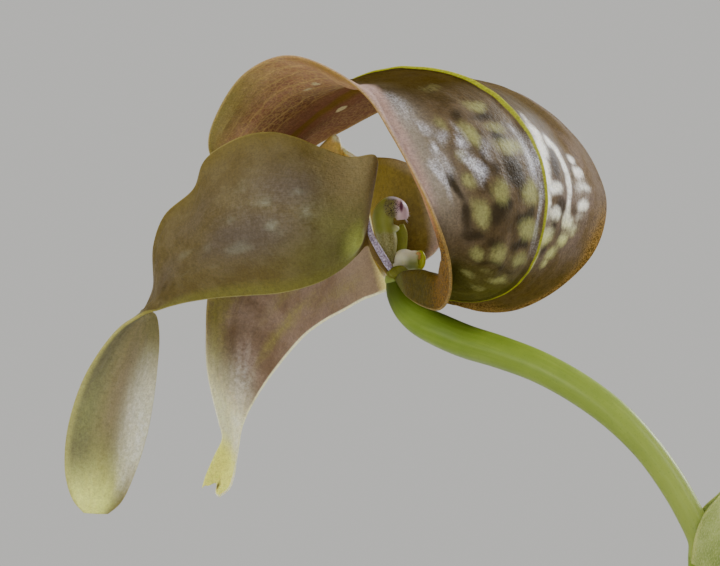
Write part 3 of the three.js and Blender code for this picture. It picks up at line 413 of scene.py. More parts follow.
# Painted shade deep in the mouth, at the far sepal's foot.
FAR_SHADES = [(0.100, 0.450, 0.060, 0.360, 0.9)]
FAR_ROSE = [(0.050, 0.020, 0.055, 0.170, 1.0), (0.100, 0.010, 0.070, 0.080, 0.6)]
FAR_YELLOWS = [(0.370, 0.050, 0.080, 0.130, 1.0)]


def placed(points):
    """Points of the flower, measured from its receptacle, as points of the whole plant."""
    spots = np.array(points, float)
    spots[:, :3] += RECEPTACLE
    return spots


def smooth(low, high, value):
    """0 below low, 1 above high, and an even curve between them."""
    share = np.clip((value - low) / (high - low), 0, 1)
    return share * share * (3 - 2 * share)


def spline(points, shares):
    """A centripetal curve through points on the first axis, read at shares of its length from 0 to 1."""
    points = np.asarray(points, float)
    ends = [2 * points[0] - points[1]], [2 * points[-1] - points[-2]]
    held = np.concatenate([ends[0], points, ends[1]])
    place = np.asarray(shares, float) * (len(points) - 1)
    index = np.minimum(place.astype(int), len(points) - 2)
    share = (place - index).reshape((-1,) + (1,) * (points.ndim - 1))
    a, b, c, d = (held[index + k] for k in range(4))

    def reach(p, q):
        return np.maximum(np.sum((q - p) ** 2, axis=-1, keepdims=True) ** 0.25, 1e-4)

    first, middle, last = reach(a, b), reach(b, c), reach(c, d)
    into = ((b - a) / first - (c - a) / (first + middle)) * middle + (c - b)
    out = ((d - c) / last - (d - b) / (middle + last)) * middle + (c - b)
    second = 3 * (c - b) - 2 * into - out
    third = 2 * (b - c) + into + out
    return b + share * (into + share * (second + share * third))


def ripple(x, y, seed, low, high, waves=18):
    """Smooth made-up unevenness over a surface, from -1 to 1, with wave counts between low and high."""
    draw = random.Random(seed)
    total = np.zeros(np.broadcast(x, y).shape)
    for _ in range(waves):
        angle = draw.uniform(0, TURN)
        count = draw.uniform(low, high)
        total = total + np.cos(count * (x * math.cos(angle) + y * math.sin(angle)) + draw.uniform(0, TURN))
    return total / math.sqrt(waves)


def merge(shapes):
    """Joins shapes, each its points, faces and named values, into one."""
    names = sorted({name for shape in shapes for name in shape[2]})
    faces = []
    offset = 0
    for points, cells, _ in shapes:
        faces.extend(tuple(index + offset for index in cell) for cell in cells)
        offset += len(points)
    values = {
        name: np.concatenate([shape[2].get(name, np.zeros(len(shape[0]))) for shape in shapes])
        for name in names
    }
    return np.vstack([shape[0] for shape in shapes]), faces, values


def grid_faces(rows, columns, offset=0, flip=False):
    """Quads over a grid of rows + 1 by columns + 1 points."""
    i, j = np.meshgrid(np.arange(rows), np.arange(columns), indexing="ij")
    a = (offset + i * (columns + 1) + j).ravel()
    quads = np.stack([a, a + columns + 1, a + columns + 2, a + 1], axis=1)
    return [tuple(quad) for quad in (quads[:, ::-1] if flip else quads).tolist()]


def eased(count, push):
    """Shares from 0 to 1 that lie closer together near both ends."""
    even = np.linspace(0, 1, count + 1)
    return (1 - push) * even + push * 0.5 * (1 - np.cos(math.pi * even))


def lofted(panels, along):
    """A grid of points through panels of ribs, its shares across, and the columns where panels end."""
    total = sum(columns for _, columns in panels)
    sheets = []
    across = []
    creases = []
    done = 0
    for number, (ribs, columns) in enumerate(panels):
        lines = np.stack([spline(rib, along) for rib in ribs])
        shares = eased(columns, ACROSS_EASE)
        start = 0 if number == 0 else 1
        sheets.append(spline(lines, shares)[start:])
        across.append((done + shares[start:] * columns) / total)
        done += columns
        creases.append(done)
    return np.concatenate(sheets).transpose(1, 0, 2), np.concatenate(across), creases


def distances(grid):
    """How far each point of a grid is from its first column, and from its nearest margin or its tip."""
    steps = np.linalg.norm(np.diff(grid, axis=1), axis=2)
    side = np.concatenate([np.zeros((len(grid), 1)), np.cumsum(steps, axis=1)], axis=1)
    runs = np.linalg.norm(np.diff(grid, axis=0), axis=2)
    down = np.concatenate([np.zeros((1, grid.shape[1])), np.cumsum(runs, axis=0)], axis=0)
    inward = np.minimum(side, side[:, -1:] - side)
    return side, np.minimum(inward, down[-1:] - down)


def shell_faces(rows, columns):
    """Quads over a front grid and a back grid of points, and round their rim."""
    offset = (rows + 1) * (columns + 1)
    faces = grid_faces(rows, columns) + grid_faces(rows, columns, offset, flip=True)
    rim = list(range(columns))
    rim += [i * (columns + 1) + columns for i in range(rows)]
    rim += [rows * (columns + 1) + j for j in range(columns, 0, -1)]
    rim += [i * (columns + 1) for i in range(rows, 0, -1)]
    for k, a in enumerate(rim):
        b = rim[(k + 1) % len(rim)]
        faces.append((a, b, offset + b, offset + a))
    return faces


def blade(panels, rows, thickness=SEPAL_THICKNESS, margin=MARGIN_THICKNESS, rise=0.0, relief=None,
          reach=None):
    """A closed blade lofted through panels of ribs, with rounded margins.

    Each panel is its ribs and its number of columns, and neighbours meet in a crease where a keel
    stands out by rise. relief gives a height over the surface, and reach draws the tip out.
    """
    along = eased(rows, ALONG_EASE)
    grid, across, creases = lofted(panels, along)
    if reach is not None:
        forward = grid[-1] - grid[-4]
        forward /= np.linalg.norm(forward, axis=1, keepdims=True)
        fade = smooth(0.9, 1.0, along)[:, None, None]
        grid = grid + fade * forward[None] * reach(across)[None, :, None]
    normal = np.cross(np.gradient(grid, axis=0), np.gradient(grid, axis=1))
    normal /= np.maximum(np.linalg.norm(normal, axis=2, keepdims=True), 1e-9)
    side, inward = distances(grid)
    middle = margin + (thickness - margin) * np.sin(math.pi * across)[None]
    rounding = np.sqrt(np.clip(1 - (1 - np.clip(inward / (0.5 * middle), 0, 1)) ** 2, 0, 1))
    half = 0.5 * middle * (0.12 + 0.88 * rounding)
    u, v = np.broadcast_arrays(along[:, None], across[None, :])
    crest = np.zeros_like(half)
    for crease in creases[:-1]:
        width = np.abs(side - side[:, crease:crease + 1]) / (1.1 * rise + 1e-6)
        crest = np.maximum(crest, np.exp(-width ** 2) * rise * np.sin(math.pi * u))
    lift = np.zeros_like(half) if relief is None else relief(u, v) * np.clip(inward / 2, 0, 1)
    front = grid + normal * (half + lift)[..., None]
    back = grid - normal * (half + crest - lift)[..., None]
    points = np.concatenate([front.reshape(-1, 3), back.reshape(-1, 3)])
    values = {
        "along": np.tile(u.ravel(), 2),
        "across": np.tile(v.ravel(), 2),
        "edge": np.tile(inward.ravel(), 2),
        "side": np.repeat([0.0, 1.0], u.size),
    }
    return points, shell_faces(rows, len(across) - 1), values


def frames(stations, steps, up):
    """Points, radii and two crosswise directions at even shares along a stem."""
    stations = np.array(stations, float)
    shares = np.linspace(0, 1, steps + 1)
    line = spline(stations[:, :3], shares)
    girth = np.column_stack([np.arange(len(stations)), stations[:, 3], np.zeros(len(stations))])
    radius = spline(girth, shares)[:, 1]
    tangent = np.gradient(line, axis=0)
    tangent /= np.linalg.norm(tangent, axis=1, keepdims=True)
    side = np.cross(up, tangent[0])
    sides = []
    for direction in tangent:
        side = side - direction * np.dot(side, direction)
        side /= np.linalg.norm(side)
        sides.append(side)
    return line, radius, np.array(sides), np.cross(tangent, sides)


def stem(stations, sides, steps, section=None, flatten=1.0, up=UPRIGHT):
    """A closed stem through stations of x, y, z and radius. section scales the radius round the stem."""
    line, radius, across, rise = frames(stations, steps, up)
    shares = np.linspace(0, 1, steps + 1)
    angles = np.linspace(0, TURN, sides, endpoint=False)
    rings = []
    for i, share in enumerate(shares):
        reach = radius[i] * (np.ones(sides) if section is None else section(angles, share))
        wide = np.outer(reach * np.cos(angles), across[i])
        rings.append(line[i] + wide + np.outer(reach * flatten * np.sin(angles), rise[i]))
    points = np.vstack(rings + [line[:1], line[-1:]])
    faces = []
    last = steps * sides
    for k in range(sides):
        after = (k + 1) % sides
        for i in range(steps):
            a, b = i * sides + k, i * sides + after
            faces.append((a, b, b + sides, a + sides))
        faces.append((len(points) - 2, after, k))
        faces.append((len(points) - 1, last + k, last + after))
    values = {
        "along": np.concatenate([np.repeat(shares, sides), [0, 1]]),
        "around": np.concatenate([np.tile(angles / TURN, steps + 1), [0, 0]]),
    }
    return points, faces, values


def wrap(stations, gap, seam, turn, mouth, thickness=0.3, up=UPRIGHT):
    """A papery sheath round a stem. seam and turn are angles, and mouth gives each angle's height."""
    steps = 40
    line, radius, sides, rises = frames(stations, steps, up)
    ribs = []
    for angle in np.linspace(seam, seam + turn, 13):
        place = np.linspace(0, steps * mouth(angle), 12)
        index = np.minimum(place.astype(int), steps - 1)
        share = (place - index)[:, None]
        shell = line + (radius + gap)[:, None] * (sides * math.cos(angle) + rises * math.sin(angle))
        ribs.append(shell[index] * (1 - share) + shell[index + 1] * share)
    return blade([(ribs, 48)], rows=60, thickness=thickness, margin=thickness * 0.7)


def revolve(profile, segments):
    """A closed body turned round the Z axis. Its profile of radius and height starts and ends on it."""
    profile = np.array(profile, float)
    angles = np.linspace(0, TURN, segments, endpoint=False)
    ring = np.stack([np.cos(angles), np.sin(angles)], axis=1)
    body = profile[1:-1]
    points = np.concatenate([
        np.column_stack([ring * radius, np.full(segments, height)]) for radius, height in body
    ])
    ends = [[0, 0, profile[0][1]], [0, 0, profile[-1][1]]]
    faces = []
    for k in range(segments):
        after = (k + 1) % segments
        for i in range(len(body) - 1):
            a, b = i * segments + k, i * segments + after
            faces.append((a, b, b + segments, a + segments))
        faces.append((len(points), after, k))
        last = (len(body) - 1) * segments
        faces.append((len(points) + 1, last + k, last + after))
    return np.vstack([points, ends]), faces, {}


def ball(centre, radii, segments=24, rings=16):
    """A closed ball, stretched by its three radii."""
    heights = [math.pi * k / rings for k in range(rings + 1)]
    points, faces, values = revolve([[math.sin(a), -math.cos(a)] for a in heights], segments)
    return points * radii + centre, faces, values


def new_object(name, points, faces, material):
    """A new object with a mesh of points in metres."""
    mesh = bpy.data.meshes.new(name)
    mesh.from_pydata(points.tolist(), [], faces)
    mesh.materials.append(material)
    made = bpy.data.objects.new(name, mesh)
    bpy.context.collection.objects.link(made)
    return made


def write(piece, name, numbers):
    """Keeps one number for each point of a piece, for its material."""
    layer = piece.data.attributes.new(name, "FLOAT", "POINT")
    layer.data.foreach_set("value", np.asarray(numbers, np.float32))


def build(name, shape, material, node=None):
    """Makes a shape a piece of the plant, in metres."""
    points, faces, values = shape
    piece = new_object(name, points * MM, faces, material)
    for key, numbers in values.items():
        write(piece, key, numbers)
    piece.data.shade_smooth()
    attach(piece, "root")
    if node:
        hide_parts(node)
    return piece


def apply_modifiers(piece):
    """Bakes a piece's modifiers into its mesh."""
    depsgraph = bpy.context.evaluated_depsgraph_get()
    mesh = bpy.data.meshes.new_from_object(piece.evaluated_get(depsgraph), depsgraph=depsgraph)
    piece.modifiers.clear()
    piece.data = mesh


def fuse(piece, voxel, smoothing):
    """Fuses the overlapping bodies of a piece into one skin."""
    remesh = piece.modifiers.new("fuse", "REMESH")
    remesh.mode = "VOXEL"
    remesh.voxel_size = voxel * MM
    relax = piece.modifiers.new("relax", "SMOOTH")
    relax.factor = 0.5
    relax.iterations = smoothing
    apply_modifiers(piece)
    piece.data.shade_smooth()


def cut(piece, shapes):
    """Cuts shapes out of a piece."""
    for points, faces, _ in shapes:
        cutter = new_object("cutter", points * MM, faces, piece.data.materials[0])
        boolean = piece.modifiers.new("cut", "BOOLEAN")
        boolean.operation = "DIFFERENCE"
        boolean.solver = "EXACT"
        boolean.object = cutter
        apply_modifiers(piece)
        bpy.data.objects.remove(cutter)


def relative(piece):
    """A piece's points in millimetres from the receptacle."""
    return np.array([vertex.co for vertex in piece.data.vertices]) / MM - RECEPTACLE


def patch(spots, centre, reach):
    """A soft patch, 1 at its centre, on the near side of spots: its place and reach in x and z."""
    offset = (spots[:, [0, 2]] - np.array(centre)) / np.array(reach)
    return smooth(1.3, 0.5, np.linalg.norm(offset, axis=1)) * (spots[:, 1] < 0.4)


def dabs(shape, marks, hard, stray=1.0, size=1.0):
    """Dabs on a blade from their list of marks, with soft edges that stray from an even outline."""
    u, v = shape[2]["along"], shape[2]["across"]
    seed = len(marks)
    wander_u = u + 0.006 * stray * ripple(u * 90, v * 60, seed, 0.5, 1.6)
    wander_v = v + 0.012 * stray * ripple(u * 90, v * 60, seed + 50, 0.5, 1.6)
    total = np.zeros_like(u)
    for along, across, length, width, strength in marks:
        reach = np.hypot((wander_u - along) / length, (wander_v - across) / width) / size
        total = np.maximum(total, strength * (1 - smooth(hard, 2 - hard, reach)))
    return total


def tone(code):
    """A colour in the scene's linear light from a six-figure web colour."""
    parts = [int(code[k:k + 2], 16) / 255 for k in (0, 2, 4)]
    linear = [part / 12.92 if part <= 0.04045 else ((part + 0.055) / 1.055) ** 2.4 for part in parts]
    return (*linear, 1.0)


class Field:
    """A number, colour or position that varies over a surface."""

    def __init__(self, paint, socket):
        self.paint = paint
        self.socket = socket

    def __add__(self, other):
        return self.paint.math("ADD", self, other)

    def __sub__(self, other):
        return self.paint.math("SUBTRACT", self, other)

    def __rsub__(self, other):
        return self.paint.math("SUBTRACT", other, self)

    def __mul__(self, other):
        return self.paint.math("MULTIPLY", self, other)

    def __abs__(self):
        return self.paint.math("ABSOLUTE", self)

    def band(self, low, high):
        """0 where the number is below low, 1 above high, or the other way round if low is the larger."""
        inputs = {"Value": self, "From Min": low, "From Max": high, "To Min": 0.0, "To Max": 1.0}
        return self.paint.add("ShaderNodeMapRange", inputs, interpolation_type="SMOOTHSTEP")

    def coats(self, *layers):
        """This colour under layers, each the share that it covers and its colour."""
        colour = self
        for share, layer in layers:
            colour = self.paint.mix(share, colour, layer)
        return colour


class Paint:
    """Builds one procedural material, with short calls for the nodes it is made of."""

    def __init__(self, name):
        self.material = bpy.data.materials.new(name)
        self.material.use_nodes = True
        self.tree = self.material.node_tree
        self.tree.nodes.clear()

    def add(self, kind, inputs, output=0, **settings):
        """What a new node gives for its inputs, which are fields or plain numbers and colours."""
        node = self.tree.nodes.new(kind)
        for key, value in settings.items():
            setattr(node, key, value)
        for key, value in inputs.items():
            if isinstance(value, Field):
                self.tree.links.new(value.socket, node.inputs[key])
            else:
                node.inputs[key].default_value = value
        return Field(self, node.outputs[output])

    def value(self, name):
        """A number that build() or write() keeps for each point."""
        return self.add("ShaderNodeAttribute", {}, "Fac", attribute_name=name)

    def math(self, operation, a, b=0.0):
        return self.add("ShaderNodeMath", {0: a, 1: b}, operation=operation)

    def mix(self, share, a, b):
        """Colour a, turning to colour b as the share goes from 0 to 1."""
        a, b = (tone(colour) if isinstance(colour, str) else colour for colour in (a, b))
        return self.add("ShaderNodeMix", {0: share, 6: a, 7: b}, 2, data_type="RGBA")

    def spread(self, x, y, z=0.0):
        """A texture position from three numbers."""
        return self.add("ShaderNodeCombineXYZ", {0: x, 1: y, 2: z})

    def place(self):
        """The position on the piece, in metres."""
        return self.add("ShaderNodeTexCoord", {}, "Object")

    def noise(self, position, scale=1.0, detail=3.0, roughness=0.55):
        inputs = {"Vector": position, "Scale": scale, "Detail": detail, "Roughness": roughness}
        return self.add("ShaderNodeTexNoise", inputs, "Fac")

    def cells(self, position, scale=1.0, feature="F1"):
        inputs = {"Vector": position, "Scale": scale}
        return self.add("ShaderNodeTexVoronoi", inputs, "Distance", feature=feature)

    def show(self, surface):
        """Ends the material with what its surface shows."""
        end = self.tree.nodes.new("ShaderNodeOutputMaterial")
        self.tree.links.new(surface.socket, end.inputs["Surface"])
        return self.material

    def finish(self, colour, roughness, height, bump, depth, look=None):
        """Ends the material with a relief, its strength and depth in metres, and other socket values."""
        relief = self.add("ShaderNodeBump", {"Strength": bump, "Distance": depth, "Height": height})
        inputs = {"Base Color": colour, "Roughness": roughness, "Normal": relief, **(look or {})}
        return self.show(self.add("ShaderNodeBsdfPrincipled", inputs))


class Tissue(Paint):
    """The paint of a sepal, with the fine unevenness that all the sepals share."""

    def __init__(self, name, seed):
        super().__init__(name)
        keys = ("along", "across", "side", "edge")
        self.u, self.v, self.side, self.edge = (self.value(key) for key in keys)
        place = self.place()
        self.grain = self.noise(place, 3200.0, 2.0)
        self.mottle = self.noise(place, 1300.0)
        self.clouds = self.noise(place, 190.0)
        self.fibre = self.noise(self.spread(self.u * 36.0, self.v * 130.0, seed), 1.0, 4.0, 0.6)

    def mark(self, name, low, high, unrest=0.5):
        """A mark's share, with its edge broken up by the mottle and the fibres."""
        shake = self.mottle + self.fibre - 1.0
        return (self.value(name) + shake * unrest).band(low, high)

    def bloom(self, grain, least=0.35):
        """Painted highlights: pale glints painted into the colour, mostly on the tops of a grain."""
        relief = self.fibre * 0.4 + grain * 0.65
        return self.value("bloom") * (relief.band(0.42, 0.66) * (1 - least) + least)

    def close(self, colour, contrast=0.45, gloss=TISSUE_GLOSS):
        """Ends the paint with its grain, its pebbled relief and its half gloss."""
        fine = (self.grain - 0.5) * (1.6 * contrast)
        coarse = (self.mottle - 0.5) * (1.2 * contrast)
        threads = (self.fibre - 0.5) * (0.55 * contrast)
        shade = fine + coarse + (threads + 1.0)
        shaded = self.add("ShaderNodeVectorMath", {0: colour, "Scale": shade}, operation="SCALE")
        height = self.mottle + self.fibre * 0.4
        look = {**TISSUE, "Specular IOR Level": gloss}
        return self.finish(shaded, self.mottle * 0.2 + 0.46, height, 0.6, 0.0003, look)


def dorsal_material():
    paint = Tissue("dorsal_sepal_skin", 1.0)
    u, v, clouds, grain = paint.u, paint.v, paint.clouds, paint.grain
    near = paint.mix(clouds.band(0.35, 0.65), "4a3b22", "5f4f38").coats(
        (v.band(0.35, 0.25) * u.band(0.33, 0.43), "847a6c"),
        (u.band(0.36, 0.24) * 0.8, "4c4b16"),
        (u.band(0.54, 0.60) * 0.9, "35290a"),
        (paint.mark("dark", 0.15, 0.85, 0.4), "2e2412"),
        (paint.mark("window", 0.1, 1.0, 0.3) * 0.9, "8f8f58"),
        # Painted highlight: bluish-white glints on the near half.
        (paint.bloom(grain, 0.4) * 0.8, "dfe1ec"),
        (v.band(0.255, 0.205) * u.band(0.36, 0.43), "a48a80"),
    )

    # The far half's windows: pale tissue, with their near-white brightness painted in as light shining
    # through from behind.
    pale = paint.mix(u.band(0.41, 0.35), "fffdf4", "c3c580")
    golden = paint.math(
        "MAXIMUM", v.band(0.84, 0.96) * u.band(0.43, 0.34), u.band(0.22, 0.17) * v.band(0.6, 0.7))
    far = paint.mix(clouds.band(0.35, 0.65), "60503a", "6f6054").coats(
        (u.band(0.47, 0.55), "50432c"),
        (u.band(0.36, 0.28) * 0.85, "564617"),
        (v.band(0.84, 0.92) * u.band(0.34, 0.38), "66594c"),
        (paint.mark("dark", 0.2, 0.8, 0.35), "41362a"),
        (paint.mark("white", 0.1, 0.95, 0.25), pale),
        # Painted highlight: glints on the far half.
        (paint.bloom(grain, 0.5) * 0.45, "d8d4cc"),
        (golden, paint.mix(grain.band(0.35, 0.62), "463618", "8c6d38")),
    )
    keel_distance = abs(v - KEEL_ACROSS) - u.band(0.46, 0.56) * 0.006
    outer = near.coats(
        (v.band(KEEL_ACROSS - 0.001, KEEL_ACROSS + 0.003), far),
        (keel_distance.band(0.008, 0.004), "8f9224"),
    )

    net = paint.cells(paint.spread(u * 95.0, v * 44.0), feature="DISTANCE_TO_EDGE")
    wave = paint.noise(paint.spread(u * 16.0, v * 6.0, 3.0))
    lines = abs(paint.math("SINE", v * 40.0 + wave * 4.5))
    main = lines.band(0.42, 0.05) * v.band(0.60, 0.40) * 0.65
    veined = paint.math("MAXIMUM", v.band(0.6, 0.4), v.band(0.70, 0.78) * 0.3)
    veins = paint.math("MAXIMUM", net.band(0.16, 0.02) * veined * 0.42, main)
    flap = paint.mix(paint.mottle, "352f04", "584a0a").coats((u.band(0.075, 0.05), "56551c"))
    inner = paint.mix(clouds.band(0.35, 0.65), "9c6e50", "ac8262").coats(
        (v.band(0.30, 0.46) * 0.85, "744c38"),
        (v.band(0.60, 0.64) * v.band(0.72, 0.66), "755826"),
        (v.band(0.70, 0.78) * 0.9, "6b4c3a"),
        (veins * u.band(0.6, 0.68), "c8aa66"),
        (v.band(0.30, 0.0) * u.band(0.72, 0.86) * 0.8, "979046"),
        (v.band(0.12, 0.02) * u.band(0.76, 0.68), "96702c"),
        (paint.mark("pale", 0.3, 0.7), "c8b98c"),
        (v.band(0.95, 1.0) * 0.7, "8f7448"),
        (u.band(0.34, 0.26), flap),
    )

    orange = paint.mix(grain.band(0.35, 0.65), "3f2a02", "7f5a10")
    colour = inner.coats(
        (paint.side, outer),
        (v.band(0.235, 0.19) * u.band(0.39, 0.34) * u.band(0.14, 0.22), orange),
        (paint.edge.band(0.4, 0.1) * 0.45, "a28a55"),
    )
    near_gloss = v.band(0.78, 0.66) * u.band(0.27, 0.40) * u.band(0.60, 0.50) * paint.side * 0.14
    inner_gloss = v.band(0.5, 0.3) * (1.0 - paint.side) * 0.16
    return paint.close(colour, 0.6, near_gloss + inner_gloss)


def near_sepal_material():
    paint = Tissue("near_lateral_skin", 5.0)
    u, v = paint.u, paint.v
    oval = u.band(0.60, 0.66)
    # light is a painted highlight: the brighter right side of the blade, where light falls.
    light = u.band(0.73, 0.82) * u.band(0.96, 0.87) * v.band(0.50, 0.10) * 0.85
    colour = paint.mix(paint.clouds.band(0.35, 0.65), "5f5022", "6d5f38").coats(
        (paint.mark("mauve", 0.1, 0.9, 0.3), "5d5042"),
        (v.band(0.16, 0.0) * 0.7, "6e5e1a"),
        (u.band(0.26, 0.16) * 0.8, "a09264"),
        (oval * 0.85, "8f8858"),
        (oval * v.band(0.5, 0.8) * 0.7, "605d4a"),
        (oval * paint.mark("mauve", 0.1, 1.1, 0.3) * 0.8, "8f7f68"),
        # Painted highlight on the blade's right side.
        (light, "f4f1d4"),
        (u.band(0.86, 0.96) * v.band(0.0, 0.4), "eaf08a"),
        (paint.mark("green", 0.0, 1.1, 0.2) * 0.85, paint.mix(oval, "737c2c", "9ca45c")),
        # Painted shadow beside the knob.
        (paint.value("shade") * 0.7, "4b470c"),
        # Painted highlight on the knob, partly its own pale green.
        (paint.value("claw") * 0.9, "b6bf62"),
        (paint.mark("pale", 0.0, 1.2, 0.2) * 0.45, "a3a892"),
        # Painted highlight: white sheen and glints.
        (paint.bloom(paint.mottle), "f4f4f0"),
        (v.band(0.88, 0.97) * u.band(0.15, 0.2) * 0.65, paint.mix(oval, "77742c", "bab96c")),
        (u.band(0.150, 0.115) * 0.9, "6d5420"),
        (paint.value("bead"), paint.mix(paint.grain.band(0.35, 0.65), "8a7a92", "c9bed6")),
        (paint.edge.band(0.4, 0.1) * 0.4, "a99f50"),
    )
    return paint.close(colour)


def far_sepal_material():
    paint = Tissue("far_lateral_skin", 9.0)
    u, v = paint.u, paint.v
    base = paint.mix(paint.mottle, "7f6a12", "a08a34").coats(
        # Painted shade in the mouth.
        (paint.value("shade") * 0.6, "5a491a"),
        (paint.value("rose"), "cdb9ae"),
    )
    colour = paint.mix(paint.clouds.band(0.3, 0.7), "775f48", "8c7563").coats(
        (u.band(0.50, 0.38) * 0.6, "b39c7e"),
        (paint.mark("green", 0.0, 1.0) * 0.85, "8f893c"),
        # The pale lower part: partly its own pale yellow-white, partly painted sheen and light through the
        # tissue.
        (u.band(0.655, 0.78), "fbf8d0"),
        (u.band(0.82, 0.89), "f2f27c"),
        # Painted highlight: whitish sheen and glints.
        (paint.bloom(paint.mottle) * 0.85, "f2eeea"),
        (paint.value("dark"), "5a4a1e"),
        (u.band(0.362, 0.330) * u.band(0.27, 0.30), "fff5a8"),
        (u.band(0.285, 0.265), base),
        (paint.value("yellow"), "f7de78"),
        # These two pale margins are painted rim light, brightened as if lit through from behind.
        (paint.edge.band(0.5, 0.2) * u.band(0.25, 0.3) * v.band(0.3, 0.7) * 0.95, "fbf8d2"),
        (v.band(0.06, 0.03) * u.band(0.27, 0.30) * u.band(0.43, 0.41), "fbf6dc"),
    )
    return paint.close(colour)


def petal_material(name, deep, pale):
    paint = Tissue(name, 31.0)
    colour = paint.mix(paint.clouds, deep, pale).coats(
        (paint.fibre.band(0.45, 0.65) * 0.4, pale),
        (paint.grain.band(0.5, 0.7) * 0.3, deep),
    )
    return paint.finish(colour, 0.42, paint.fibre, 0.4, 0.0002, TISSUE)


def lip_material():
    paint = Paint("lip_skin")
    place = paint.place()
    clouds = paint.noise(place, 700.0)
    grain = paint.noise(place, 4200.0, 2.0)
    freckle = paint.value("freckle").band(0.1, 0.8)
    colour = paint.mix(clouds, "868f2c", "b4ba5c").coats(
        (paint.value("foot"), paint.mix(grain.band(0.3, 0.7), "88864a", "b8b47c")),
        (paint.value("head"), paint.mix(clouds, "cba4ad", "ecd4da")),
        (freckle * 0.4, "6f4a5c"),
        (paint.cells(place, 4600.0).band(0.50, 0.32) * freckle, "3a2034"),
        (paint.value("groove"), "6f3a50"),
        # Painted highlight along the top of the lip's head.
        (paint.value("crest"), "d9d0e6"),
        (paint.value("lobe"), "ccd09a"),
    )
    return paint.finish(colour, 0.3, clouds + grain, 0.35, 0.0002, TISSUE)


def hair_material():
    paint = Paint("lip_hair")
    clouds = paint.noise(paint.place(), 900.0, 2.0)
    return paint.finish(paint.mix(clouds, "cfc0cc", "f0e9ee"), 0.4, clouds, 0.2, 0.0001)


def column_material():
    paint = Paint("column_skin")
    place = paint.place()
    clouds = paint.noise(place, 600.0)
    colour = paint.mix(clouds, "f0ecc4", "fffce8").coats(
        (paint.cells(place, 2400.0).band(0.3, 0.15) * 0.25, "cfcb86"),
        # Painted shade, greenish, on the column's lower part.
        (paint.value("shade"), "939e52"),
        (paint.value("cup"), "b4ba24"),
    )
    return paint.finish(colour, 0.33, clouds, 0.25, 0.0002, TISSUE)


def anther_material():
    paint = Paint("anther_skin")
    place = paint.place()
    clouds = paint.noise(place, 900.0)
    specks = paint.cells(place, 2600.0).band(0.3, 0.12)
    colour = paint.mix(clouds, "dc9a44", "f3c985").coats((specks * 0.4, "b86f1e"))
    return paint.finish(colour, 0.35, clouds, 0.4, 0.0002, TISSUE)


def stalk_material():
    paint = Paint("stalk_skin")
    along = paint.value("along")
    place = paint.place()
    clouds = paint.noise(place, 160.0)
    lines = paint.noise(paint.spread(along * 14.0, paint.value("around") * 34.0))
    colour = paint.mix(clouds, "5c7618", "82982e").coats(
        (along.band(0.75, 0.1) * 0.6, "9aa552"),
        (lines.band(0.4, 0.8) * 0.18, "a8b757"),
        (paint.cells(place, 1500.0).band(0.3, 0.12) * 0.22, "566f1c"),
        (paint.value("tint"), "6a5a3a"),
        # Painted shade under the flower.
        (paint.value("shade"), "3d4506"),
    )
    return paint.finish(colour, clouds * 0.12 + 0.34, lines * 0.6 + clouds, 0.06, 0.0002, TISSUE)


def sheath_material(name, dry_margin):
    paint = Tissue(name, 13.0)
    colour = paint.mix(paint.clouds.band(0.3, 0.7), "76893a", "a0ad62").coats(
        (paint.fibre.band(0.45, 0.66) * 0.6, "bcc487"),
        (paint.grain.band(0.5, 0.75) * 0.4, "5f7a2c"),
        (paint.edge.band(0.9, 0.1) * dry_margin, "b39b62"),
    )
    return paint.finish(colour, 0.5, paint.fibre + paint.grain * 0.3, 0.5, 0.0003, TISSUE)


def husk_material():
    paint = Tissue("husk_paper", 21.0)
    colour = paint.mix(paint.clouds.band(0.3, 0.7), "6b4f30", "9a7d52").coats(
        (paint.fibre.band(0.45, 0.62), "b79e74"),
        (paint.edge.band(0.8, 0.1) * 0.6, "c7b28a"),
        (paint.grain.band(0.55, 0.75) * 0.4, "4b3620"),
    )
    return paint.finish(colour, 0.75, paint.fibre + paint.grain * 0.4, 0.8, 0.0004)


def bulb_material():
    paint = Paint("pseudobulb_skin")
    along = paint.value("along")
    place = paint.place()
    clouds = paint.noise(place, 90.0, 4.0)
    streaks = paint.noise(paint.spread(along * 4.0, paint.value("around") * 46.0), 1.0, 4.0)
    colour = paint.mix(clouds.band(0.3, 0.7), "55702a", "8a9a42").coats(
        (streaks.band(0.42, 0.66) * 0.6, "a9ad58"),
        (paint.cells(place, 900.0).band(0.22, 0.08) * 0.5, "3f5420"),
        (along.band(0.22, 0.02) * 0.7, "8b8350"),
        (along.band(0.93, 1.0) * 0.8, "7d6a3c"),
    )
    return paint.finish(colour, clouds * 0.2 + 0.32, streaks + clouds * 0.5, 0.45, 0.0004, TISSUE)


def rhizome_material():
    paint = Paint("rhizome_skin")
    along = paint.value("along")
    place = paint.place()
    clouds = paint.noise(place, 220.0, 4.0)
    fibres = paint.noise(paint.spread(along * 200.0, paint.value("around") * 9.0))
    rings = paint.math("COSINE", along * (TURN * RHIZOME_RINGS))
    stains = paint.noise(place, 700.0, 2.0).band(0.5, 0.7)
    root = paint.mix(clouds, "8b8672", "bdb8a2").coats((stains * 0.6, "6d6a50"))
    colour = paint.mix(clouds, "5a5a2a", "8b8750").coats(
        (fibres.band(0.4, 0.7) * 0.6, "a08c5c"),
        (rings.band(-0.7, -0.98), "4a3a22"),
        (paint.value("root"), root),
    )
    return paint.finish(colour, 0.65, clouds + fibres * 0.6, 0.7, 0.0004)


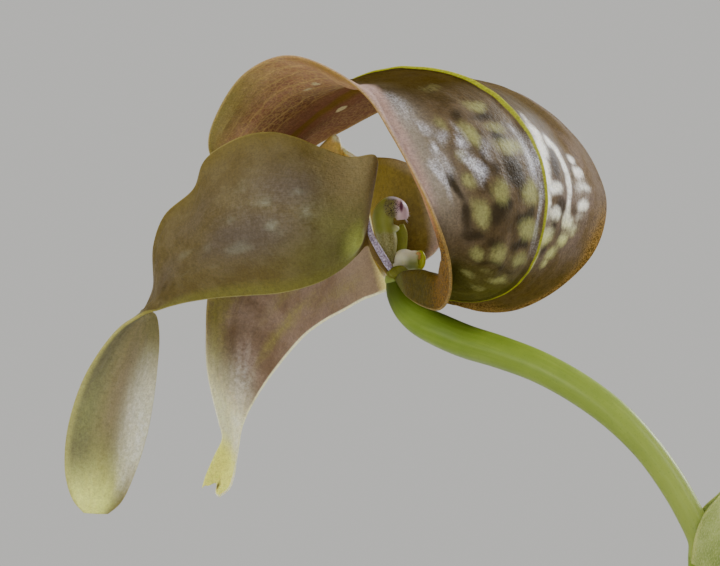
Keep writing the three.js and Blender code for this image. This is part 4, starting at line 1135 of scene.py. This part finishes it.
def leaf_material():
    paint = Paint("leaf_skin")
    u, v, side, edge = (paint.value(name) for name in ("along", "across", "side", "edge"))
    place = paint.place()
    veins = paint.noise(paint.spread(u * 2.0, v * 120.0))
    clouds = paint.noise(place, 46.0, 4.0)
    grain = paint.noise(place, 1300.0, 2.0)
    patches = clouds.band(0.3, 0.7)
    veined = veins.band(0.45, 0.68) * 0.5
    under = paint.mix(patches, "4d7a34", "6d924a").coats((veined, "87a662"))
    colour = paint.mix(patches, "1f4a16", "3c6d22").coats(
        (veined, "578433"),
        (side, under),
        (abs(v - 0.5).band(0.02, 0.004) * 0.7, "84a04c"),
        (u.band(0.16, 0.02) * 0.7, "7f9344"),
        (edge.band(0.9, 0.2) * 0.5, "7d9040"),
        ((u + clouds * 0.03).band(1.0, 1.02), "8a6b34"),
        (grain.band(0.56, 0.74) * 0.25, "5c7f36"),
    )
    return paint.finish(colour, clouds * 0.2 + 0.3, veins + grain * 0.25, 0.4, 0.0003, LEAF_LOOK)


def bark_material():
    paint = Paint("bark_mix")
    shade = paint.value("shade")
    clouds = paint.noise(paint.place(), 260.0, 5.0, 0.65)
    fibres = paint.spread(paint.value("grain_x") * 10.0, paint.value("grain_y") * 60.0, shade * 90.0)
    layers = paint.noise(fibres, 1.0, 4.0)
    colour = paint.mix(shade, "3a2415", "7a4e2c").coats(
        (layers.band(0.38, 0.62), "5a3820"),
        (clouds.band(0.55, 0.75) * 0.6, "a07c52"),
        (clouds.band(0.4, 0.28) * 0.7, "1f130b"),
    )
    return paint.finish(colour, 0.85, layers + clouds * 0.8, 1.0, 0.0008)


def moss_material():
    paint = Paint("moss")
    clouds = paint.noise(paint.place(), 600.0)
    colour = paint.mix(paint.value("along"), "5b4a26", paint.mix(clouds, "4a5c1c", "8b9a3e"))
    return paint.finish(colour, 0.7, clouds, 0.4, 0.0002)


def pumice_material():
    paint = Paint("pumice")
    place = paint.place()
    clouds = paint.noise(place, 700.0, 4.0)
    pores = paint.cells(place, 1300.0)
    colour = paint.mix(clouds, "8c8275", "bbb3a5").coats((pores.band(0.3, 0.1), "6c6256"))
    return paint.finish(colour, 0.9, pores + clouds, 0.9, 0.0005)


def terracotta_material():
    paint = Paint("terracotta")
    place = paint.place()
    height = paint.add("ShaderNodeSeparateXYZ", {0: place}, 2)
    clouds = paint.noise(place, 24.0, 5.0, 0.6)
    grain = paint.noise(place, 900.0)
    grog = paint.cells(place, 420.0)
    wheel = paint.noise(paint.spread(0.0, 0.0, height * 900.0))
    drift = height + (clouds - 0.5) * 0.05
    lime = drift.band(0.034, 0.004) * paint.noise(place, 120.0, 5.0, 0.7).band(0.4, 0.62)
    colour = paint.mix(clouds.band(0.3, 0.7), "8f4526", "b5633c").coats(
        (grain.band(0.5, 0.72) * 0.4, "c88a62"),
        (grog.band(0.16, 0.06) * 0.6, "7a3519"),
        (lime * 0.35, "d8c6b2"),
        (drift.band(0.060, 0.066) * drift.band(0.076, 0.068) * 0.18, "d2b8a2"),
        (clouds.band(0.56, 0.7) * 0.5, "6f3a22"),
        (paint.value("wear") * 0.6, "cf9570"),
    )
    return paint.finish(colour, clouds * 0.15 + 0.78, wheel * 0.8 + grain * 0.5, 0.6, 0.0004)


def middle_rib(upper, lower, bulge, direction):
    """A rib between two margins, pushed out in one direction."""
    upper, lower = np.array(upper, float), np.array(lower, float)
    return (upper + lower) / 2 + np.outer(bulge, direction)


def pebbled(u, v):
    """The low pebbled relief of the lateral sepals."""
    return 0.10 * ripple(u * 50, v * 14, 4, 0.6, 2.0) + 0.07 * ripple(u * 170, v * 40, 6, 0.5, 1.5)


def make_dorsal_sepal():
    def relief(u, v):
        swell = 0.10 * ripple(u * 40, v * 24, 2, 0.5, 1.6) + 0.12 * ripple(u * 9, v * 46, 7, 0.6, 1.5)
        swell += 0.05 * ripple(u * 150, v * 70, 5, 0.5, 1.5)
        for ridge in DORSAL_RIDGES:
            swell = swell + RIDGE_HEIGHT * np.exp(-((v - ridge) / RIDGE_WIDTH) ** 2) * smooth(0.65, 0.5, u)
        return swell * smooth(0, 0.2, u)

    near_ribs = [placed(rib) for rib in (DORSAL_NEAR, DORSAL_CREST, DORSAL_MIDDLE, DORSAL_KEEL)]
    far_ribs = [placed(rib) for rib in (DORSAL_KEEL, DORSAL_FAR_MIDDLE, DORSAL_FAR)]
    sepal = blade([(near_ribs, 78), (far_ribs, 52)], rows=260, rise=KEEL_RISE, relief=relief)
    sepal[2].update(
        window=dabs(sepal, DORSAL_WINDOWS, 0.0, 0.4),
        dark=dabs(sepal, DORSAL_DARKS, 0.0),
        white=dabs(sepal, DORSAL_WHITES, 0.0, 0.3),
        bloom=dabs(sepal, DORSAL_PAINTED_GLINTS, 0.0, 1.0, 0.75),
        pale=dabs(sepal, INNER_PALES, 0.4, 0.3),
    )
    build("dorsal_sepal_skin", sepal, dorsal_material(), "dorsal_sepal")


def make_near_sepal():
    def relief(u, v):
        knob = KNOB_HEIGHT * np.exp(-((u - 0.150) / 0.022) ** 2 - ((v - 0.80) / 0.11) ** 2)
        return pebbled(u, v) * smooth(0.1, 0.3, u) + knob

    middle = middle_rib(NEAR_UPPER, NEAR_LOWER, NEAR_BULGE, (0, -1, 0))
    ribs = [placed(rib) for rib in (NEAR_UPPER, middle, NEAR_LOWER)]
    sepal = blade([(ribs, 84)], rows=250, relief=relief)
    sepal[2].update(
        pale=dabs(sepal, NEAR_PALES, 0.0),
        bloom=dabs(sepal, NEAR_PAINTED_GLINTS, -0.3),
        mauve=dabs(sepal, NEAR_MAUVES, -0.3),
        green=dabs(sepal, NEAR_GREENS, -0.2, 0.3),
        claw=dabs(sepal, NEAR_KNOB_HIGHLIGHT, -0.2, 0.2),
        shade=dabs(sepal, NEAR_SHADES, -0.3, 0.3),
    )
    bead = stem(placed(NEAR_BEAD), sides=20, steps=80)
    count = len(bead[0])
    bead[2].update(
        bead=smooth(0.0, 0.35, bead[2]["along"]),
        along=np.full(count, 0.12),
        across=np.zeros(count),
        edge=np.full(count, 5.0),
    )
    skin = near_sepal_material()
    build("lateral_sepal_near_skin", merge([sepal, bead]), skin, "lateral_sepal_near")


def make_far_sepal():
    def relief(u, v):
        return pebbled(u + 3, v) * smooth(0.3, 0.5, u) * smooth(0.88, 0.7, u)

    def tip(v):
        notch = 1.3 * np.exp(-((v - 0.42) / 0.13) ** 2)
        return 0.9 * np.exp(-(v / 0.07) ** 2) - notch + 0.6 * smooth(0.55, 0.8, v)

    middle = middle_rib(FAR_UPPER, FAR_LOWER, FAR_BULGE, (0.3, 0.95, 0))
    ribs = [placed(rib) for rib in (FAR_UPPER, middle, FAR_LOWER)]
    sepal = blade([(ribs, 74)], rows=240, relief=relief, reach=tip)
    sepal[2].update(
        dark=dabs(sepal, FAR_DARKS, 0.1, 0.2),
        shade=dabs(sepal, FAR_SHADES, -0.3, 0.3),
        rose=dabs(sepal, FAR_ROSE, 0.0, 0.3),
        yellow=dabs(sepal, FAR_YELLOWS, 0.1, 0.3),
        bloom=dabs(sepal, FAR_PAINTED_GLINTS, -0.3),
        green=dabs(sepal, FAR_GREENS, -0.3),
    )
    build("lateral_sepal_far_skin", sepal, far_sepal_material(), "lateral_sepal_far")


def make_petals():
    def relief(u, v):
        return 0.05 * ripple(u * 8, v * 14, 8, 0.6, 2.0)

    for node, ribs, lobes, shift, deep, pale in PETALS:
        shifted = [placed(rib) + shift for rib in ribs]
        strip = blade([(shifted, 26)], rows=70, thickness=0.8, margin=0.7, relief=relief)
        bodies = [strip] + [ball(RECEPTACLE + centre, radii) for centre, radii in lobes]
        skin = petal_material(node + "_skin", deep, pale)
        piece = build(node + "_skin", merge(bodies), skin, node)
        if lobes:
            fuse(piece, voxel=0.12, smoothing=4)
            spots = relative(piece)
            write(piece, "along", spots[:, 0] / 4)
            write(piece, "across", spots[:, 2] / 4)


def make_lip():
    """The lip, fused into one skin, and the hairs at its head."""
    lip = stem(placed(LIP_SKIN_PATH), sides=40, steps=150, flatten=1.15, up=CROSSWISE)
    lobe = ball(RECEPTACLE + LIP_LOBE, LIP_LOBE_RADII)
    piece = build("lip_skin", merge([lip, lobe]), lip_material(), "lip")
    fuse(piece, voxel=0.12, smoothing=4)
    spots = relative(piece)
    x, z = spots[:, 0], spots[:, 2]
    reach = np.linalg.norm((spots - LIP_LOBE) / LIP_LOBE_RADII, axis=1)
    for name, share in (
        ("foot", smooth(8.6, 7.6, z)),
        ("head", smooth(0.1, 1.2, x) * smooth(9.3, 10.2, z)),
        ("freckle", patch(spots, *LIP_FRECKLES)),
        ("groove", patch(spots, *LIP_GROOVE)),
        # crest: a painted highlight along the top of the head.
        ("crest", 0.8 * smooth(13.9, 14.5, z) * smooth(-1.6, 0.2, x)),
        ("lobe", smooth(1.35, 0.9, reach) * smooth(-0.4, 1.0, x)),
    ):
        write(piece, name, share)

    draw = random.Random(8)
    hairs = []
    for _ in range(LIP_HAIRS):
        turn = draw.uniform(-0.9, 1.1)
        out, up = math.cos(turn), math.sin(turn)
        root = np.array([1.9 + 0.5 * out, -0.5 + draw.uniform(-0.9, 0.9), 11.8 + 1.3 * up])
        aim = np.array([out, draw.uniform(-0.5, 0.5), up - 0.3]) * draw.uniform(0.4, 0.9)
        bow = np.array([0, 0, -0.07])
        path = [[*root, 0.026], [*(root + aim / 2 + bow), 0.02], [*(root + aim + 2 * bow), 0.01]]
        hairs.append(stem(placed(path), sides=5, steps=5, up=ASKEW))
    build("lip_hairs", merge(hairs), hair_material())


def make_column():
    """The column with its hollow end, and the anther cap in it."""
    trunk = stem(placed(COLUMN_SKIN_PATH), sides=64, steps=70)
    rim = stem(placed(CUP_RIM), sides=20, steps=40)
    column = build("column_skin", merge([trunk, rim]), column_material(), "column")
    fuse(column, voxel=0.1, smoothing=3)
    cut(column, [ball(RECEPTACLE + CUP_HOLLOW, CUP_HOLLOW_RADII, 40, 24)])
    spots = relative(column)
    x, z = spots[:, 0], spots[:, 2]
    write(column, "cup", smooth(3.9, 5.2, x) * smooth(1.0, 2.0, z))
    # Painted shade: greenish, towards the column's lower end by the cup.
    write(column, "shade", 0.9 * smooth(4.9, 2.5, z) * smooth(1.6, 3.4, x))

    centre = RECEPTACLE + CAP_CENTRE
    cap = ball(centre, CAP_RADII, 40, 28)
    points = cap[0]
    cleft = 0.08 * np.exp(-((points[:, 2] - centre[2]) / 0.2) ** 2)
    points[:, 1] += cleft * (points[:, 1] < centre[1])
    build("anther_cap_skin", cap, anther_material(), "anther_cap")


def make_stalks():
    """The pedicel with its ovary, the peduncle, the sheaths on it and the bract."""
    def ribbed(angles, t):
        return 1 + 0.045 * np.cos(3 * angles + 0.6) * min(1, 2 * t) + 0.006 * np.cos(9 * angles + 5 * t)

    def jointed(angles, t):
        return 1 + 0.02 * np.cos(5 * angles + 9 * t) + 0.012 * np.cos(2 * angles - 17 * t)

    def bract_relief(u, v):
        return 0.06 * ripple(u * 6, v * 40, 3, 0.6, 2.0)

    stalk = stalk_material()
    pedicel = stem(placed(NODE_PATH + OVARY_PATH), sides=64, steps=260, section=ribbed)
    # Painted shade on the pedicel's end under the flower.
    pedicel[2]["shade"] = 0.75 * smooth(0.80, 0.95, pedicel[2]["along"])
    dome = ball(RECEPTACLE + DOME_CENTRE, DOME_RADII, 40, 24)
    build("ovary_skin", merge([pedicel, dome]), stalk, "ovary")

    peduncle = stem(placed(PEDUNCLE_PATH), sides=40, steps=300, section=jointed)
    peduncle[2]["tint"] = 0.5 * smooth(0.3, 0.0, peduncle[2]["along"])
    build("peduncle_skin", peduncle, stalk, "peduncle")

    sheath = sheath_material("sheath_skin", 0.6)
    for node, path, seam in SHEATHS:
        def mouth(angle, seam=seam):
            return 1 - 0.45 * math.cos((angle - seam) / 2) ** 8 - 0.02 * math.sin(9 * angle)

        shape = wrap(placed(path), -0.2, seam, TURN * 0.97, mouth)
        build(node + "_skin", shape, sheath, node)
    ribs = [placed(rib) for rib in (BRACT_NEAR, BRACT_MIDDLE, BRACT_FAR)]
    bract = blade([(ribs, 56)], rows=84, thickness=0.8, margin=0.6, relief=bract_relief)
    build("floral_bract_skin", bract, sheath_material("bract_skin", 0.1), "floral_bract")


def make_rhizome():
    """The creeping rhizome with its roots."""
    def ringed(angles, t):
        ring = math.cos(TURN * RHIZOME_RINGS * t)
        return 1 + 0.07 * ring + 0.02 * np.cos(5 * angles + 40 * t) + 0.015 * np.cos(11 * angles)

    path = [[*point, RHIZOME_RADIUS] for point in RHIZOME_PATH]
    path[0][3] = path[-1][3] = RHIZOME_RADIUS * 0.5
    shapes = [stem(path, sides=40, steps=360, section=ringed)]
    for number, points in enumerate(ROOTS):
        def knobbly(angles, t, number=number):
            return 1 + 0.08 * np.cos(3 * angles + 20 * t + number) + 0.05 * math.sin(60 * t)

        radius = ROOT_RADIUS * (1 + 0.15 * math.sin(3 * number))
        root = stem([[*point, radius] for point in points], sides=12, steps=70, section=knobbly)
        root[2]["root"] = np.ones(len(root[0]))
        shapes.append(root)
    build("rhizome_skin", merge(shapes), rhizome_material(), "rhizome")


def make_bulbs():
    """The pseudobulbs with their husks, and the new shoot."""
    def pleated(angles, _):
        return 1 + 0.08 * np.cos(2 * angles) + 0.015 * np.cos(14 * angles)

    bulb_skin, husk_paper = bulb_material(), husk_material()
    for number, (x, y, tall, wide, turn) in enumerate(BULBS, 1):
        def angled(angles, t, turn=turn):
            ridge = 0.07 * np.cos(4 * (angles + turn)) + 0.012 * np.cos(16 * angles + 3 * turn)
            return 1 + ridge * math.sin(math.pi * t) + 0.006 * np.cos(7 * angles + 12 * t)

        def torn(angle, number=number):
            return 0.55 + 0.25 * math.sin(2 * angle + number) + 0.1 * math.sin(7 * angle + 2 * number)

        stations = [
            [x, y, BULB_FOOT + h * tall * BULB_HEIGHT, r * wide * BULB_RADIUS] for h, r in BULB_PROFILE
        ]
        bulb = stem(stations, sides=96, steps=80, section=angled, up=CROSSWISE)
        build(f"pseudobulb_{number}_skin", bulb, bulb_skin, f"pseudobulb_{number}")
        foot = [station[:3] + [station[3] * 1.05] for station in stations[:4]]
        husk = wrap(foot, 0.5, turn * 2, TURN * 0.9, torn, 0.25, CROSSWISE)
        build(f"husk_{number}", husk, husk_paper)

    shoot = stem(SHOOT_PATH, sides=64, steps=120, section=pleated)
    shoot[2]["across"] = shoot[2].pop("around")
    shoot[2]["edge"] = np.full(len(shoot[0]), 5.0)
    build("new_shoot_skin", shoot, sheath_material("shoot_skin", 0.0), "new_shoot")


def leaf_ribs(foot, azimuth, lean, bend, length, twist):
    """Five ribs of a leaf, from its stalk to its tip."""
    heading = math.radians(azimuth)
    out = np.array([math.cos(heading), math.sin(heading), 0])
    upright = np.array([0.0, 0.0, 1.0])
    sideways = np.cross(upright, out)
    ribs = [[] for _ in range(5)]
    point = np.array(foot, float)
    last = 0
    for t, width in LEAF_STATIONS:
        angle = math.radians(lean + bend * t * t * 1.4)
        forward = upright * math.cos(angle) + out * math.sin(angle)
        point = point + forward * (t - last) * length
        last = t
        face = np.cross(forward, sideways)
        roll = math.radians(twist * t)
        across = sideways * math.cos(roll) + face * math.sin(roll)
        for rib, s in zip(ribs, (-1, -0.5, 0, 0.5, 1)):
            wave = 0.5 * width * math.sin(9 * t + (1.4 if s > 0 else 0)) * s * s
            lift = width * LEAF_WIDTH * 0.09 * abs(s) ** 1.4 + wave
            rib.append(point + across * s * width * LEAF_WIDTH / 2 - face * lift)
    return [np.array(rib) for rib in ribs]


def make_leaves():
    skin = leaf_material()
    for number, (bulb, leaf) in enumerate(zip(BULBS, LEAVES), 1):
        def relief(u, v, seed=number):
            fold = -0.35 * np.exp(-((v - 0.5) / 0.012) ** 2) * smooth(1, 0.8, u)
            veins = 0.05 * np.cos(v * 150) * smooth(0.1, 0.3, u)
            return fold + veins + 0.25 * ripple(u * 12, v * 5, seed, 0.6, 2)

        foot = [bulb[0], bulb[1], BULB_FOOT + bulb[2] * BULB_HEIGHT + 0.4]
        ribs = leaf_ribs(foot, *leaf)
        panels = [(ribs[:3], 30), (ribs[2:], 30)]
        shape = blade(panels, rows=150, thickness=LEAF_THICKNESS, margin=LEAF_MARGIN, relief=relief)
        build(f"leaf_{number}_skin", shape, skin, f"leaf_{number}")


def polar(distance, angle, height):
    """A point of the mix from its distance and angle round the pot's axis."""
    return np.array([distance * math.cos(angle), distance * math.sin(angle), height])


def chip(draw, centre, size, tilt, spin):
    """One bark chip: a worn block with uneven faces."""
    points, faces, _ = ball((0, 0, 0), (1, 1, 1), 14, 9)
    block = np.sign(points) * np.abs(points) ** 0.42
    x, y, z = points.T
    wobble = 1 + 0.14 * ripple(x * 2, y * 2 + z, draw.random(), 1, 3, 6)
    chunk = block * wobble[:, None] * np.array(size) / 2
    cos, sin = math.cos(spin), math.sin(spin)
    tilted = Vector(UPRIGHT).rotation_difference(Vector((*tilt, 1))).to_matrix()
    turned = chunk @ np.array([[cos, sin, 0], [-sin, cos, 0], [0, 0, 1]]) @ np.array(tilted).T + centre
    values = {
        "shade": np.full(len(points), draw.random()),
        "grain_x": block[:, 0] + draw.random() * 9,
        "grain_y": block[:, 2] + 0.2 * block[:, 1],
    }
    return turned, faces, values


def wall_inside(z):
    """The radius of the pot's inner wall at a height."""
    share = (z - POT_FLOOR - 2) / (POT_HEIGHT - 3 - POT_FLOOR - 2)
    return INNER_BASE_RADIUS + (INNER_TOP_RADIUS - INNER_BASE_RADIUS) * share


def mix_bed(rim):
    """The dark disc that the bark chips are bedded on, out to the rim's radius."""
    base, top = POT_FLOOR + 0.3, MIX_TOP - 4
    profile = [[0, base], [36, base], [wall_inside(POT_FLOOR + 4) - 0.5, POT_FLOOR + 4]]
    profile += [[rim, top - 2], [rim - 3, top - 0.5]]
    profile += [[radius, top] for radius in np.linspace(rim - 6, 3, 20)] + [[0, top]]
    bed = revolve(profile, 96)
    x, y, z = bed[0].T
    bed[0][:, 2] += 0.6 * ripple(x / 6, y / 6, 3, 0.6, 2) * (z > 80)
    bed[2].update(shade=np.full(len(x), 0.1), grain_x=x / 20, grain_y=y / 20)
    return bed


def make_mix():
    """Bark chips bedded on a dark disc, with moss and a few bits of pumice."""
    draw = random.Random(5)
    rim = wall_inside(MIX_TOP - 4) - 0.5
    shapes = [mix_bed(rim)]
    for k in range(BARK_CHIPS):
        distance = (rim - 7) * math.sqrt((k + 0.5) / BARK_CHIPS)
        angle = k * GOLDEN_ANGLE + 0.5 * draw.random()
        size = (draw.uniform(7, 15), draw.uniform(5, 9), draw.uniform(2.5, 5))
        centre = polar(distance, angle, MIX_TOP - draw.uniform(1.5, 3.5))
        tilt = (draw.uniform(-0.35, 0.35), draw.uniform(-0.35, 0.35))
        shapes.append(chip(draw, centre, size, tilt, draw.uniform(0, math.pi)))
    build("potting_mix_bark", merge(shapes), bark_material(), "potting_mix")

    bits = []
    for _ in range(PUMICE_BITS):
        distance, angle = PUMICE_REACH * math.sqrt(draw.random()), draw.uniform(0, TURN)
        centre = polar(distance, angle, MIX_TOP + draw.uniform(-0.5, 0.8))
        points, faces, _ = ball((0, 0, 0), (1, 1, 1), 14, 10)
        x, y, z = points.T
        wobble = 1 + 0.2 * ripple(x * 3, y * 3 + z * 2, draw.random(), 1, 3, 6)
        bits.append((points * wobble[:, None] * draw.uniform(1.2, 2.4) + centre, faces, {}))
    build("potting_mix_pumice", merge(bits), pumice_material())

    strands = []
    for _ in range(MOSS_TUFTS):
        distance, angle = MOSS_REACH * math.sqrt(draw.random()), draw.uniform(0, TURN)
        root = polar(distance, angle, MIX_TOP - 1.0)
        for _ in range(MOSS_STRANDS):
            start = root + [draw.gauss(0, 2.2), draw.gauss(0, 2.2), 0]
            lean = np.array([draw.gauss(0, 1.6), draw.gauss(0, 1.6), draw.uniform(1.8, 4.2)])
            bow = np.array([draw.gauss(0, 0.8), draw.gauss(0, 0.8), 0.6])
            stations = [[*start, 0.3], [*(start + lean * 0.5 + bow), 0.26], [*(start + lean), 0.08]]
            strands.append(stem(stations, sides=4, steps=4, up=ASKEW))
    build("potting_mix_moss", merge(strands), moss_material())


def rounded(profile, radius):
    """A profile with its corners rounded and its long stretches divided."""
    profile = [np.array(point, float) for point in profile]
    result = [profile[0]]
    for before, corner, after in zip(profile, profile[1:], profile[2:]):
        into, out = before - corner, after - corner
        reach = min(radius, 0.45 * np.linalg.norm(into), 0.45 * np.linalg.norm(out))
        start = corner + into / np.linalg.norm(into) * reach
        end = corner + out / np.linalg.norm(out) * reach
        gap = np.linalg.norm(start - result[-1])
        for k in range(1, int(gap / 4) + 1):
            result.append(result[-1] + (start - result[-1]) * k / (int(gap / 4) + 1))
        for share in np.linspace(0, 1, 5):
            result.append(start * (1 - share) ** 2 + 2 * corner * share * (1 - share) + end * share ** 2)
    return result + [profile[-1]]


def make_pot():
    rim_foot = POT_HEIGHT - RIM_HEIGHT
    slope = (POT_TOP_RADIUS - RIM_STEP - POT_BASE_RADIUS) / POT_HEIGHT
    at_rim = POT_BASE_RADIUS + slope * rim_foot
    step_radius, step_height = at_rim + RIM_STEP, rim_foot + 1.5
    profile = rounded([
        [0, 0], [POT_BASE_RADIUS, 0], [at_rim, rim_foot], [step_radius, step_height],
        [POT_TOP_RADIUS, POT_HEIGHT], [POT_TOP_RADIUS - POT_WALL, POT_HEIGHT],
        [INNER_TOP_RADIUS, POT_HEIGHT - 4], [INNER_BASE_RADIUS, POT_FLOOR], [0, POT_FLOOR],
    ], CORNER_RADIUS)
    shape = revolve(profile, 180)
    points = shape[0]
    x, y, z = points.T
    radial = np.hypot(x, y)
    dent = 0.12 * ripple(np.arctan2(y, x) * 3, z / 14, 12, 0.6, 2.4) * (radial > 20)
    points[:, :2] *= 1 + (dent / np.maximum(radial, 1))[:, None]
    top_wear = smooth(1.5, 0.2, np.abs(z - POT_HEIGHT))
    step_wear = smooth(1.8, 0.3, np.hypot(radial - step_radius, z - step_height))
    shape[2]["wear"] = np.clip(top_wear + step_wear, 0, 1)
    pot = build("pot_clay", shape, terracotta_material(), "pot")
    holes = []
    for k in range(DRAIN_HOLES):
        hole = revolve([[0, -4], [DRAIN_HOLE_RADIUS, -4], [DRAIN_HOLE_RADIUS, 12], [0, 12]], 32)
        hole[0][:] += polar(DRAIN_HOLE_CIRCLE, (k + 0.5) * TURN / DRAIN_HOLES, 0)
        holes.append(hole)
    cut(pot, holes)


def make_stage():
    """A pale floor that turns into the even backdrop some way from the pot."""
    paint = Paint("studio_floor")
    spot = paint.add("ShaderNodeNewGeometry", {}, "Position")
    distance = paint.add("ShaderNodeVectorMath", {0: spot}, "Value", operation="LENGTH")
    pale = paint.mix(paint.noise(spot, 40.0), *FLOOR_TONES)
    ground = paint.add("ShaderNodeBsdfPrincipled", {"Base Color": pale, "Roughness": 0.9})
    glow = paint.add("ShaderNodeEmission", {"Color": tone(WORLD_TONE), "Strength": WORLD_STRENGTH})
    fade = distance.band(FADE_START, FADE_END)
    material = paint.show(paint.add("ShaderNodeMixShader", {0: fade, 1: ground, 2: glow}))
    points, faces, _ = revolve([[0, 0], [FLOOR_RADIUS, 0], [FLOOR_RADIUS, -0.02], [0, -0.02]], 96)
    new_object("studio_floor", points, faces, material)

    world = bpy.data.worlds.new("studio")
    world.use_nodes = True
    background = world.node_tree.nodes["Background"]
    background.inputs["Color"].default_value = tone(WORLD_TONE)
    background.inputs["Strength"].default_value = WORLD_STRENGTH
    bpy.context.scene.world = world


def make_lamps():
    target = RECEPTACLE * MM
    for name, offset, width, power, colour in LAMPS:
        light = bpy.data.lights.new(name, "AREA")
        light.shape = "DISK"
        light.size = width
        light.energy = power
        light.color = colour
        lamp = bpy.data.objects.new(name, light)
        lamp.location = Vector(target) + Vector(offset)
        lamp.rotation_euler = (-Vector(offset)).to_track_quat("-Z", "Y").to_euler()
        bpy.context.collection.objects.link(lamp)


def make_camera():
    data = bpy.data.cameras.new("camera")
    data.lens = LENS
    data.sensor_width = SENSOR
    data.clip_start = 0.01
    data.clip_end = 200.0
    camera = bpy.data.objects.new("camera", data)
    camera.location = (RECEPTACLE + CAMERA_OFFSET) * MM
    camera.rotation_euler = (math.radians(90), 0, 0)
    bpy.context.collection.objects.link(camera)
    bpy.context.scene.camera = camera


make_camera()
make_stage()
make_lamps()
make_dorsal_sepal()
make_near_sepal()
make_far_sepal()
make_petals()
make_lip()
make_column()
make_stalks()
make_rhizome()
make_bulbs()
make_leaves()
make_mix()
make_pot()
